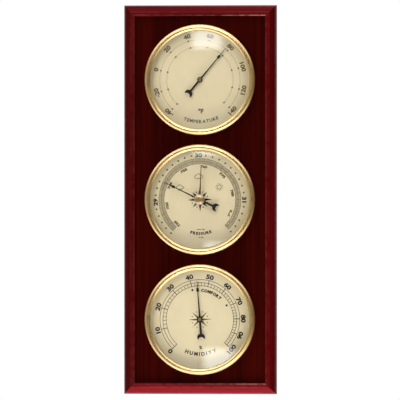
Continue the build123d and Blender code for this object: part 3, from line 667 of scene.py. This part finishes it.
class STATION_OT_frame_rails(bpy.types.Operator):
    """Four mitred rails: a steep outer edge, a wide bevel, a front flat and an inner chamfer"""

    bl_idname = "station.frame_rails"
    bl_label = "Frame rails"

    def execute(self, context):
        """A rail is its outline carried along its side; for the mitre, each point of the outline starts and
        ends as far in from the corners as it lies in from the frame's outside."""
        board = context.scene.station_board
        soft = board.softness
        ridge = board.edge_width + board.bevel_width
        flat_end = ridge + board.flat_width
        inside = flat_end + board.chamfer
        outline = rounded_outline([
            (0, 0, 0), (0, board.edge_start, soft), (board.edge_width, board.edge_end, soft),
            (ridge, board.rail_depth, soft), (flat_end, board.rail_depth, 0.7 * soft),
            (inside, board.rail_depth - board.chamfer, 0.5 * soft), (inside, board.panel_face, 0),
            (inside - board.lip, board.panel_face, 0), (inside - board.lip, 0, 0)])
        count = len(outline)
        caps = [list(range(0, 2 * count, 2)), list(range(1, 2 * count, 2))]
        faces = grid_faces(count, 2, wrap_rows=True).tolist() + caps
        across, depth = outline.T[:, :, None]
        ends = np.array([-1, 1])
        # Three ridge lines that are worn lacquer and painted highlight at once.
        wear_and_highlight_width, wear_and_highlight_share, painted_glint_width = 0.0008, 0.55, 0.0006
        wear_and_highlight_gain, wear_and_highlight_lift = 1.6, 0.02
        # Each rail's colour holds painted light on the top and bottom rails and painted shade on the left
        # rail.
        sides = {"top": (0, 1, board.top_tone), "bottom": (0, -1, board.bottom_tone),
                 "left": (-1, 0, board.left_tone), "right": (1, 0, board.right_tone)}
        for side, (right, up, tone) in sides.items():
            # near and far: how much of the painted glint on the inner chamfer shows at either end of a rail;
            # on the top and bottom rails it grows towards the right.
            if up:
                half_out, half_along = board.height / 2, board.width / 2
                grain, shine, near, far = "X", 0.012, 0.08, 0.85
            else:
                half_out, half_along = board.width / 2, board.height / 2
                grain, shine, near, far = "Z", 0.01, 0.07, 0.07
            out = half_out - across
            along = ends * (half_along - across)
            points = np.stack([
                right * out + abs(up) * along, -depth * np.ones(2), up * out + abs(right) * along], axis=-1)
            wear_and_highlight_tone = tuple(wear_and_highlight_gain * value + wear_and_highlight_lift for value in tone)
            ridges = [(half_out - place, wear_and_highlight_width, wear_and_highlight_tone, wear_and_highlight_share, wear_and_highlight_share)
                      for place in (board.edge_width, ridge, flat_end)]
            # Painted glint along the middle of the inner chamfer.
            painted_glint_place = half_out - (flat_end + inside) / 2
            ridges.append((painted_glint_place, painted_glint_width, tuple(board.bare_tone), near, far))
            wear_and_highlights = ("Z" if up else "X", ridges)
            finish = wood(f"rail_wood_with_painted_light_{side}", tuple(tone), grain, shine, wear_and_highlights)
            make_piece(f"framed_rail_{side}", points.reshape(-1, 3), faces, finish, "board",
                       [f"rail_{side}"], sharp_angle=40)
        return {"FINISHED"}


class STATION_OT_panel(bpy.types.Operator):
    """Dark upright grain on the panel behind the instruments"""

    bl_idname = "station.panel"
    bl_label = "Panel"

    def execute(self, context):
        tone = tuple(context.scene.station_board.panel_tone)
        dress(wood("panel_wood", tone, grain="Z", shine=0.015), "panel")
        return {"FINISHED"}


class STATION_OT_bezels(bpy.types.Operator):
    """Brass bezels: a plain wall and one round roll that holds the glass"""

    bl_idname = "station.bezels"
    bl_label = "Bezels"

    def execute(self, context):
        look = context.scene.station_instruments
        ease = 0.0004
        foot = [(look.seat_radius, 0), (look.bezel_radius - ease, 0), (look.bezel_radius, ease)]
        middle = (look.bezel_radius + look.opening_radius) / 2
        roll = arc_through((look.bezel_radius, look.shoulder), (middle, look.roll_top),
                           (look.opening_radius, look.roll_back), steps=21)
        profile = np.concatenate([foot, roll, [(look.seat_radius, look.roll_back)]])
        for name, up in DIAL_UP.items():
            points, faces = turned(profile, up, closed=True)
            finish = brass(f"{name}_bezel_brass", tuple(look.brass_tone), up, rough=0.31)
            make_piece(f"{name}_brass_bezel", points, faces, finish, "board", [f"{name}_bezel"])
        return {"FINISHED"}


class STATION_OT_glasses(bpy.types.Operator):
    """Domed glasses with a flat rim, the barometer's with a hole for the set knob"""

    bl_idname = "station.glasses"
    bl_label = "Glasses"

    def execute(self, context):
        """A dome is the cap of a sphere of radius (dome radius squared + rise squared) / (2 * rise)."""
        look = context.scene.station_instruments
        sphere = (look.dome_radius**2 + look.dome_rise**2) / (2 * look.dome_rise)
        material = clear_glass()
        for name, up in DIAL_UP.items():
            hole = look.glass_hole if name == "barometer" else 0.0
            radius = np.linspace(hole, look.dome_radius, 32)
            rise = look.dome_rise - sphere + np.sqrt(sphere**2 - radius**2)
            outside = np.stack([radius, look.glass_front + rise], axis=-1)
            inside = np.stack([radius, look.glass_back + rise], axis=-1)[::-1]
            rim = [(look.glass_radius, look.glass_front), (look.glass_radius, look.glass_back)]
            points, faces = turned(np.concatenate([outside, rim, inside]), up, steps=128, closed=hole > 0)
            make_piece(f"{name}_domed_glass", points, faces, material, "board", [f"{name}_glass"])
        return {"FINISHED"}


class STATION_OT_dials(bpy.types.Operator):
    """Cream enamel on the dial plates, and a darker copy on the rings around them as painted shade"""

    bl_idname = "station.dials"
    bl_label = "Dials"

    def execute(self, context):
        tone = tuple(context.scene.station_instruments.enamel_tone)
        for name, up in DIAL_UP.items():
            dress(enamel(f"{name}_enamel", tone, up), f"{name}_dial")
            # The ring's enamel is the dial's at 0.55 of its strength: painted shade in the recess under the
            # glass.
            dress(enamel(f"{name}_ring_painted_shade_enamel", shaded(tone, 0.55), up), f"{name}_reveal")
        return {"FINISHED"}


def print_ink(name, tone):
    """Matt ink, made once and shared by the dials."""
    return bpy.data.materials.get(name) or speckled(
        name, tuple(tone), waves=300.0, rough=0.6, shine=0.1)


class STATION_OT_thermometer_print(bpy.types.Operator):
    """Numbers from -40 to 140 degrees over two fine dotted arcs"""

    bl_idname = "station.thermometer_print"
    bl_label = "Thermometer print"

    def execute(self, context):
        look = context.scene.station_print
        tilt = math.degrees(look.tilt)
        below = 180 + tilt
        low, high, degree_turn = -40, 140, 1.5
        arcs = (0.0411, 0.0340)
        ink, pale = Print(), Print()

        def angle_of(degrees):
            """Angle of a temperature, which turns evenly to either side of the scale's middle."""
            return degree_turn * (degrees - (low + high) / 2) + tilt

        for radius in arcs:
            pale.curve(radius, angle_of(low), angle_of(high), width=0.00012)
            for degrees in range(low, high + 1, 2):
                pale.dot(angle_of(degrees), distance=radius, radius=0.0003, sides=6)
        for degrees in range(low, high + 1, 20):
            angle = angle_of(degrees)
            ink.words(str(degrees), angle, distance=0.0459, height=0.0047, weight=0.04, wide=1.2,
                      inward=angle > 95)
            for radius in arcs:
                ink.dot(angle, distance=radius, radius=0.0009)
        ink.words("°F", below, distance=0.0319, height=0.0050, weight=0.05, inward=True)
        ink.curved_words(
            "TEMPERATURE", below, distance=0.0427, height=0.0034, weight=0.04, gap=0.0006, inward=True)
        grey = print_ink("pale_dial_ink", look.pale_ink)
        ink.make("thermometer_print", DIAL_UP["thermometer"], grey, films=2)
        pale.make("thermometer_fine_print", DIAL_UP["thermometer"], grey)
        return {"FINISHED"}


class STATION_OT_barometer_print(bpy.types.Operator):
    """Inches of mercury round a fine band, millimetres inside it, weather signs and a compass rose"""

    bl_idname = "station.barometer_print"
    bl_label = "Barometer print"

    def execute(self, context):
        look = context.scene.station_print
        tilt = math.degrees(look.tilt)
        below = 180 + tilt
        inch_turn = 91.7
        start, end = -1.5 * inch_turn + tilt, 1.5 * inch_turn + tilt
        number_circle = 0.0454
        band_inside, band_middle, band_outside, tick_end = 0.0366, 0.0393, 0.0421, 0.0423
        ink, pale = Print(), Print()
        for tenth in range(-15, 16):
            angle = 0.1 * tenth * inch_turn + tilt
            if tenth % 10 == 0:
                ink.words(str(30 + tenth // 10), angle, number_circle, height=0.0044, weight=0.045, wide=1.3)
            else:
                pale.dot(angle, number_circle, radius=0.00095)
            pale.spoke(angle, band_inside, tick_end, width=0.00036)
        for radius in (band_inside, band_middle, band_outside):
            pale.curve(radius, start, end, width=0.0003)
        for angle in np.linspace(start, end, 301):
            pale.spoke(angle, band_inside, band_outside, width=0.00027)
        first_number, first_turn, ten_turn = 725, 2.9, 35.8
        for index in range(8):
            angle = start + first_turn + ten_turn * index
            pale.words(str(first_number + 10 * index), angle, distance=0.0339, height=0.0028, weight=0.07,
                       wide=1.5, inward=index == 7)
        weather_signs(pale, distance=0.0237)
        compass_rose(ink, reach=0.0123, turn=tilt, spread=0.15)
        ink.curved_words(
            "PRESSURE", below, distance=0.0346, height=0.0031, weight=0.06, gap=0.0005, inward=True)
        pale.words("mm Hg", below, distance=0.0305, height=0.0017, weight=0.04, wide=1.5, inward=True)
        pale.words("in Hg", below, distance=0.0386, height=0.0017, weight=0.04, wide=1.3, inward=True)
        ink.make("barometer_print", DIAL_UP["barometer"], print_ink("dial_ink", look.ink), films=2)
        grey = print_ink("pale_dial_ink", look.pale_ink)
        pale.make("barometer_fine_print", DIAL_UP["barometer"], grey)
        return {"FINISHED"}


class STATION_OT_hygrometer_print(bpy.types.Operator):
    """Numbers from 0 to 100 per cent over a ladder of ticks, and a compass rose"""

    bl_idname = "station.hygrometer_print"
    bl_label = "Hygrometer print"

    def execute(self, context):
        look = context.scene.station_print
        tilt = math.degrees(look.tilt)
        below = 180 + tilt
        ladder_inside, ladder_middle, ladder_outside, tick_end = 0.0345, 0.0378, 0.0408, 0.0412
        first_angle, first_turn, closing = -137, 3.32, 0.0062
        ink, pale = Print(), Print()

        def angle_of(share):
            """Angle of a share of humidity, on a scale that closes up a little towards its end."""
            return first_angle + first_turn * share - closing * share**2

        for radius in (ladder_inside, ladder_middle, ladder_outside):
            ink.curve(radius, angle_of(0), angle_of(100), width=0.00042)
        for share in range(10, 101, 2):
            ink.spoke(angle_of(share), ladder_inside, ladder_middle, width=0.0004)
        for share in range(0, 101, 10):
            angle = angle_of(share)
            ink.spoke(angle, ladder_inside, tick_end, width=0.00065)
            ink.words(str(share), angle, distance=0.0444, height=0.0050, weight=0.045, wide=1.25,
                      inward=angle > 95)
        compass_rose(pale, reach=0.0123, turn=tilt, spread=0.085)
        comfort_start, comfort_middle, comfort_end = -14.3, 24, 62.2
        for angle in (comfort_start, comfort_end):
            ink.dot(angle, distance=0.0310, radius=0.0011)
        ink.curved_words("COMFORT", comfort_middle, distance=0.0299, height=0.0033, weight=0.06, gap=0.0003)
        ink.words("%", below, distance=0.0287, height=0.0034, weight=0.03, inward=True)
        ink.curved_words(
            "HUMIDITY", below, distance=0.0354, height=0.0040, weight=0.045, gap=0.0013, inward=True)
        ink.make("hygrometer_print", DIAL_UP["hygrometer"], print_ink("dial_ink", look.ink), films=2)
        grey = print_ink("pale_dial_ink", look.pale_ink)
        pale.make("hygrometer_fine_print", DIAL_UP["hygrometer"], grey)
        return {"FINISHED"}


class STATION_OT_set_hand(bpy.types.Operator):
    """Set hand, its bush and its turned knob in front of the glass"""

    bl_idname = "station.set_hand"
    bl_label = "Set hand and knob"

    def execute(self, context):
        """The knob is a profile turned round the dial's centre line. Over its head, the radius falls with
        cos(turn) to the power of the roundness while the height grows with sin(turn)."""
        look = context.scene.station_instruments
        board = context.scene.station_board
        low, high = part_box("set_hand")
        hand_back, hand_front = -high[1] - board.panel_face, -low[1] - board.panel_face
        bush_front = -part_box("set_hand_bush")[0][1] - board.panel_face
        neck_back = bush_front + 0.0003
        end_radius, spindle_radius, neck_radius, waist_radius = 0.0010, 0.0015, 0.0026, 0.0023
        shank = [(0, hand_back), (end_radius, hand_back), (end_radius, hand_front),
                 (spindle_radius, hand_front), (spindle_radius, neck_back), (neck_radius, neck_back),
                 (waist_radius, (neck_back + look.knob_back) / 2), (neck_radius, look.knob_back)]
        ease, roundness = 0.0008, 0.8
        under = arc((look.knob_radius - ease, look.knob_back + ease), ease, -90, 0, 6)
        side = look.knob_back + 2.5 * ease
        turn = np.radians(np.linspace(0, 90, 14))
        dome_radius = look.knob_radius * np.cos(turn) ** roundness
        dome_radius[-1] = 0.0
        dome = np.stack([dome_radius, side + (look.knob_top - side) * np.sin(turn)], axis=-1)
        points, faces = turned(np.concatenate([shank, under, dome]), DIAL_UP["barometer"], steps=64)
        # The knob's brass is the bezels' at half strength: painted shade that darkens the knob.
        painted_shade_knob_brass = brass("knob_brass", shaded(look.brass_tone, 0.5), DIAL_UP["barometer"], rough=0.5)
        make_piece("turned_set_knob", points, faces, painted_shade_knob_brass, "set_hand_and_knob", ["set_knob"])
        dark = tuple(look.dark_brass_tone)
        dress(speckled("set_hand_brass", dark, waves=200.0, rough=0.38, metallic=1.0), "set_hand")
        dress(brass("bush_brass", tuple(look.brass_tone)), "set_hand_bush")
        return {"FINISHED"}


class STATION_OT_pointers(bpy.types.Operator):
    """Black pointers and their brass hub caps"""

    bl_idname = "station.pointers"
    bl_label = "Pointers"

    def execute(self, context):
        look = context.scene.station_instruments
        tone = tuple(look.pointer_tone)
        lacquer = speckled("pointer_lacquer", tone, waves=220.0, rough=0.42, shine=0.2)
        dress(lacquer, *[f"{name}_pointer" for name in INSTRUMENTS])
        cap_brass = brass("hub_cap_brass", tuple(look.dark_brass_tone))
        dress(cap_brass, *[f"{name}_hub_cap" for name in INSTRUMENTS])
        return {"FINISHED"}


class STATION_OT_barometer_chain(bpy.types.Operator):
    """Fine chain from the rocker's arm to the drum"""

    bl_idname = "station.barometer_chain"
    bl_label = "Barometer chain"

    def execute(self, context):
        """A link is a wire carried round an oval: its centre line is half_width * cos(turn) across and
        half_length * sin(turn) along, and every second link is turned a quarter about the chain."""
        low, high = (np.array(corner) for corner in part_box("barometer_chain"))
        wire, link_pitch = 0.00007, 0.0008
        half_width = (high[0] - low[0]) / 2 - wire
        half_length = link_pitch / 2 + 1.5 * wire
        reach = half_length + wire
        count = round((high[2] - low[2]) / link_pitch)
        middles = np.linspace(low[2] + reach, high[2] - reach, count)[:, None, None]
        turn = np.linspace(0, 2 * np.pi, 16, endpoint=False)[:, None]
        round_wire = np.linspace(0, 2 * np.pi, 6, endpoint=False)
        steepness = np.hypot(half_length * np.cos(turn), half_width * np.sin(turn))
        proud = wire * np.cos(round_wire) / steepness
        across = (half_width + half_length * proud) * np.cos(turn)
        along = (half_length + half_width * proud) * np.sin(turn)
        aside = wire * np.sin(round_wire) * np.ones_like(turn)
        even = (np.arange(count) % 2 == 0)[:, None, None]
        centre = (low + high) / 2
        right = centre[0] + np.where(even, across, aside)
        out = centre[1] + np.where(even, aside, across)
        points = np.stack([right, out, middles + along], axis=-1).reshape(-1, 3)
        ring = grid_faces(len(turn), len(round_wire), wrap_rows=True, wrap_columns=True)
        faces = (ring + len(turn) * len(round_wire) * np.arange(count)[:, None, None]).reshape(-1, 4)
        steel = speckled("chain_steel", srgb(150, 152, 156), waves=400.0, rough=0.34, metallic=1.0)
        chain = make_piece("linked_chain", points, faces, steel, None, ["barometer_chain"])
        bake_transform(chain)
        return {"FINISHED"}


class STATION_OT_backs(bpy.types.Operator):
    """Cases, rubber rings, hanger and movements, each node by its slot in the record"""

    bl_idname = "station.backs"
    bl_label = "Cases, hanger and movements"

    def execute(self, context):
        look = context.scene.station_instruments
        finishes = {
            "zinc_plate": speckled("zinc_plate", srgb(190, 190, 186), waves=120.0, rough=0.36, metallic=1.0),
            "steel": speckled("bright_steel", srgb(186, 188, 192), waves=260.0, rough=0.3, metallic=1.0),
            "rubber": speckled("black_rubber", srgb(34, 34, 35), waves=180.0, rough=0.8, bump=0.3),
            "paper_coil": speckled("laminated_strip", srgb(206, 186, 142), waves=240.0, rough=0.6),
            "brass": brass("movement_brass", tuple(look.brass_tone)),
        }
        for name, up in DIAL_UP.items():
            dress(spun_zinc(f"{name}_case_zinc", srgb(170, 172, 173), up), f"{name}_case")
        shown = {"set_hand_bush", *[f"{name}_hub_cap" for name in INSTRUMENTS]}
        for part in frame["record"]["subparts"]:
            if part["material_slot"] in finishes and part["node"] not in shown:
                dress(finishes[part["material_slot"]], part["node"])
        return {"FINISHED"}


# Stage

class Sky(Finish):
    """Nodes of the world, whose place is the direction that a ray leaves in."""

    def __init__(self, world):
        world.use_nodes = True
        self.tree = world.node_tree
        self.tree.nodes.clear()
        self.place = self.node("ShaderNodeTexCoord").outputs["Generated"]

    def light(self, strength, tone=(1, 1, 1, 1)):
        """Light of a strength, white unless a tone is given."""
        return self.node("ShaderNodeBackground", {0: tone, 1: strength}).outputs[0]


def pale_floor():
    """Pale floor that keeps shadows near the object and is plain white to the camera further off."""
    finish = Finish("pale_floor")
    shade = finish.ramp(finish.noise(3.0), [(0.3, (0.86, 0.86, 0.86)), (0.7, (0.9, 0.9, 0.9))])
    finish.shade(Base_Color=shade, Roughness=0.9, Specular_IOR_Level=0.1)
    fade_start, fade_end = 1.0, 1.6
    seen = finish.node("ShaderNodeLightPath").outputs["Is Camera Ray"]
    away = finish.span(finish.vector("LENGTH", finish.place), fade_start, fade_end)
    white = finish.node("ShaderNodeEmission", {0: (1, 1, 1, 1), 1: 1.0}).outputs[0]
    finish.surface(finish.choose(finish.sum("MULTIPLY", away, seen), finish.shader.outputs[0], white))
    return finish.material


def place_towards(holder, place, aim, front):
    """Put an object at a place with its front axis turned towards an aim."""
    holder.location = place
    ahead = mathutils.Vector(aim) - mathutils.Vector(place)
    holder.rotation_euler = ahead.to_track_quat(front, "Y").to_euler()


def hide_from(holder, *rays):
    """Keep an object out of the sight of some kinds of rays."""
    for ray in rays:
        setattr(holder, f"visible_{ray}", False)


def soft_lamp(name, place, aim, size, power):
    """Oblong soft lamp that lights matt surfaces; the world and the glow cards give the gloss."""
    lamp = bpy.data.lights.new(name, "AREA")
    lamp.shape = "RECTANGLE"
    lamp.size, lamp.size_y = size
    lamp.energy = power
    holder = bpy.data.objects.new(name, lamp)
    bpy.context.scene.collection.objects.link(holder)
    place_towards(holder, place, aim, "-Z")
    hide_from(holder, "camera", "glossy", "transmission")


def plane(name, width, height, material):
    """Flat oblong that is part of the stage."""
    corners = [(-1, -1), (1, -1), (1, 1), (-1, 1)]
    mesh = bpy.data.meshes.new(name)
    mesh.from_pydata([(x * width / 2, y * height / 2, 0.0) for x, y in corners], [], [(0, 1, 2, 3)])
    mesh.materials.append(material)
    made = bpy.data.objects.new(name, mesh)
    bpy.context.scene.collection.objects.link(made)
    return made


def glow_card(name, place, aim, size, strength):
    """Card with a glow that fades towards its edges, which only polished surfaces show."""
    finish = Finish(name)
    fade_start, fade_end = 0.2, 0.5
    glow = strength
    for letter, width in zip("XY", size):
        across = finish.sum("ABSOLUTE", finish.axis(letter))
        fade = finish.span(across, fade_start * width, fade_end * width, 1.0, 0.0)
        glow = finish.sum("MULTIPLY", fade, glow)
    finish.surface(finish.node("ShaderNodeEmission", {0: (1, 1, 1, 1), 1: glow}).outputs[0])
    card = plane(name, *size, finish.material)
    place_towards(card, place, aim, "Z")
    hide_from(card, "camera", "diffuse", "transmission", "shadow")


def studio_sky(world, fill):
    """World that gives an even fill, and is brighter above and below, and white behind, where gloss shows it.

    The camera sees it as plain white."""
    base_glow, end_glow, left_glow, right_glow = 0.14, 1.75, 0.3, 0.02
    end_low, end_high = 0.2, 0.75
    side_low, side_high = 0.3, 0.75
    behind_low, behind_high = 0.1, 0.5
    daylight = (0.9, 1.05, 1.26)
    sky = Sky(world)
    path = sky.node("ShaderNodeLightPath").outputs
    height = sky.sum("ABSOLUTE", sky.axis("Z"))
    ends = sky.span(height, end_low, end_high, 0.0, end_glow)
    left = sky.span(sky.axis("X"), -side_low, -side_high, 0.0, left_glow)
    right = sky.span(sky.axis("X"), side_low, side_high, 0.0, right_glow)
    glow = base_glow
    for light in (ends, left, right):
        glow = sky.sum("ADD", light, glow)
    behind = sky.span(sky.axis("Y"), behind_low, behind_high)
    tone = sky.mix(sky.span(height, end_low, end_high), (1, 1, 1), daylight)
    gloss = sky.light(sky.sum("MAXIMUM", glow, behind), tone)
    glossed = sky.sum("MAXIMUM", path["Is Glossy Ray"], sky.sum("MINIMUM", path["Glossy Depth"], 1.0))
    even = sky.choose(glossed, sky.light(fill), gloss)
    through = sky.sum("SUBTRACT", path["Is Transmission Ray"], glossed)
    seen = sky.sum("MAXIMUM", path["Is Camera Ray"], sky.sum("MAXIMUM", through, 0.0))
    output = sky.node("ShaderNodeOutputWorld")
    sky.feed(output, "Surface", sky.choose(seen, even, sky.light(1.0)))


class STATION_OT_stage(bpy.types.Operator):
    """Camera, soft lamps, world light, two glow cards for the gloss and a pale floor"""

    bl_idname = "station.stage"
    bl_label = "Stage"

    def execute(self, context):
        scene = context.scene
        look = scene.station_stage
        board = scene.station_board
        scene.view_settings.view_transform = "Standard"
        camera = bpy.data.cameras.new("camera")
        camera.sensor_width = 36.0
        reach = math.hypot(look.camera_right, look.distance - board.rail_depth)
        camera.lens = camera.sensor_width * reach / look.view_width
        holder = bpy.data.objects.new("camera", camera)
        scene.collection.objects.link(holder)
        turn = math.atan2(look.camera_right, look.distance - board.panel_face)
        holder.location = (look.camera_right, -look.distance, -look.camera_drop)
        holder.rotation_euler = (math.pi / 2, 0, turn)
        scene.camera = holder

        soft_lamp("lamp_above", place=(0.1, -0.24, 0.85), aim=(0, 0, 0.1), size=(1.0, 0.4),
                  power=look.top_power)
        soft_lamp("lamp_left", place=(-0.75, -1.05, 0.45), aim=(0, 0, 0), size=(0.3, 0.3),
                  power=look.left_power)
        soft_lamp("lamp_below", place=(0.0, -0.2, -0.75), aim=(0, 0, -0.1), size=(1.0, 0.36),
                  power=look.bottom_power)
        scene.world = bpy.data.worlds.new("studio")
        studio_sky(scene.world, look.fill)
        glow_card("glow_above", place=(0.03, -0.9, 0.56), aim=(0, 0, DIAL_UP["thermometer"]),
                  size=(0.42, 0.28), strength=11.0)
        glow_card("glow_below", place=(0.15, -0.9, -0.555), aim=(0, 0, DIAL_UP["hygrometer"]),
                  size=(0.44, 0.32), strength=11.0)

        floor = plane("floor", 12.0, 12.0, pale_floor())
        floor.location = (0, 0, -look.floor_drop)
        hide_from(floor, "glossy", "transmission")
        return {"FINISHED"}


# Panel in the sidebar, and the run

GROUPS = {
    "station_board": BoardLook, "station_instruments": InstrumentLook, "station_print": PrintLook,
    "station_stage": StageLook,
}
OPERATORS = (
    STATION_OT_frame_rails, STATION_OT_panel, STATION_OT_bezels, STATION_OT_glasses, STATION_OT_dials,
    STATION_OT_thermometer_print, STATION_OT_barometer_print, STATION_OT_hygrometer_print,
    STATION_OT_pointers, STATION_OT_set_hand, STATION_OT_barometer_chain, STATION_OT_backs, STATION_OT_stage,
)


class STATION_PT_sidebar(bpy.types.Panel):
    """Sizes, colours and the steps that make the station"""

    bl_label = "Weather Station"
    bl_space_type = "VIEW_3D"
    bl_region_type = "UI"
    bl_category = "Weather Station"

    def draw(self, context):
        for group, kind in GROUPS.items():
            box = self.layout.box()
            for name in kind.__annotations__:
                box.prop(getattr(context.scene, group), name)
        for operator in OPERATORS:
            self.layout.operator(operator.bl_idname)


def register():
    for kind in (*GROUPS.values(), *OPERATORS, STATION_PT_sidebar):
        bpy.utils.register_class(kind)
    for group, kind in GROUPS.items():
        setattr(bpy.types.Scene, group, bpy.props.PointerProperty(type=kind))


def unregister():
    for group in GROUPS:
        delattr(bpy.types.Scene, group)
    for kind in (STATION_PT_sidebar, *reversed(OPERATORS), *reversed(GROUPS.values())):
        bpy.utils.unregister_class(kind)


def main():
    register()
    for operator in OPERATORS:
        getattr(bpy.ops.station, operator.bl_idname.split(".")[1])()


if __name__ == "__main__":
    main()
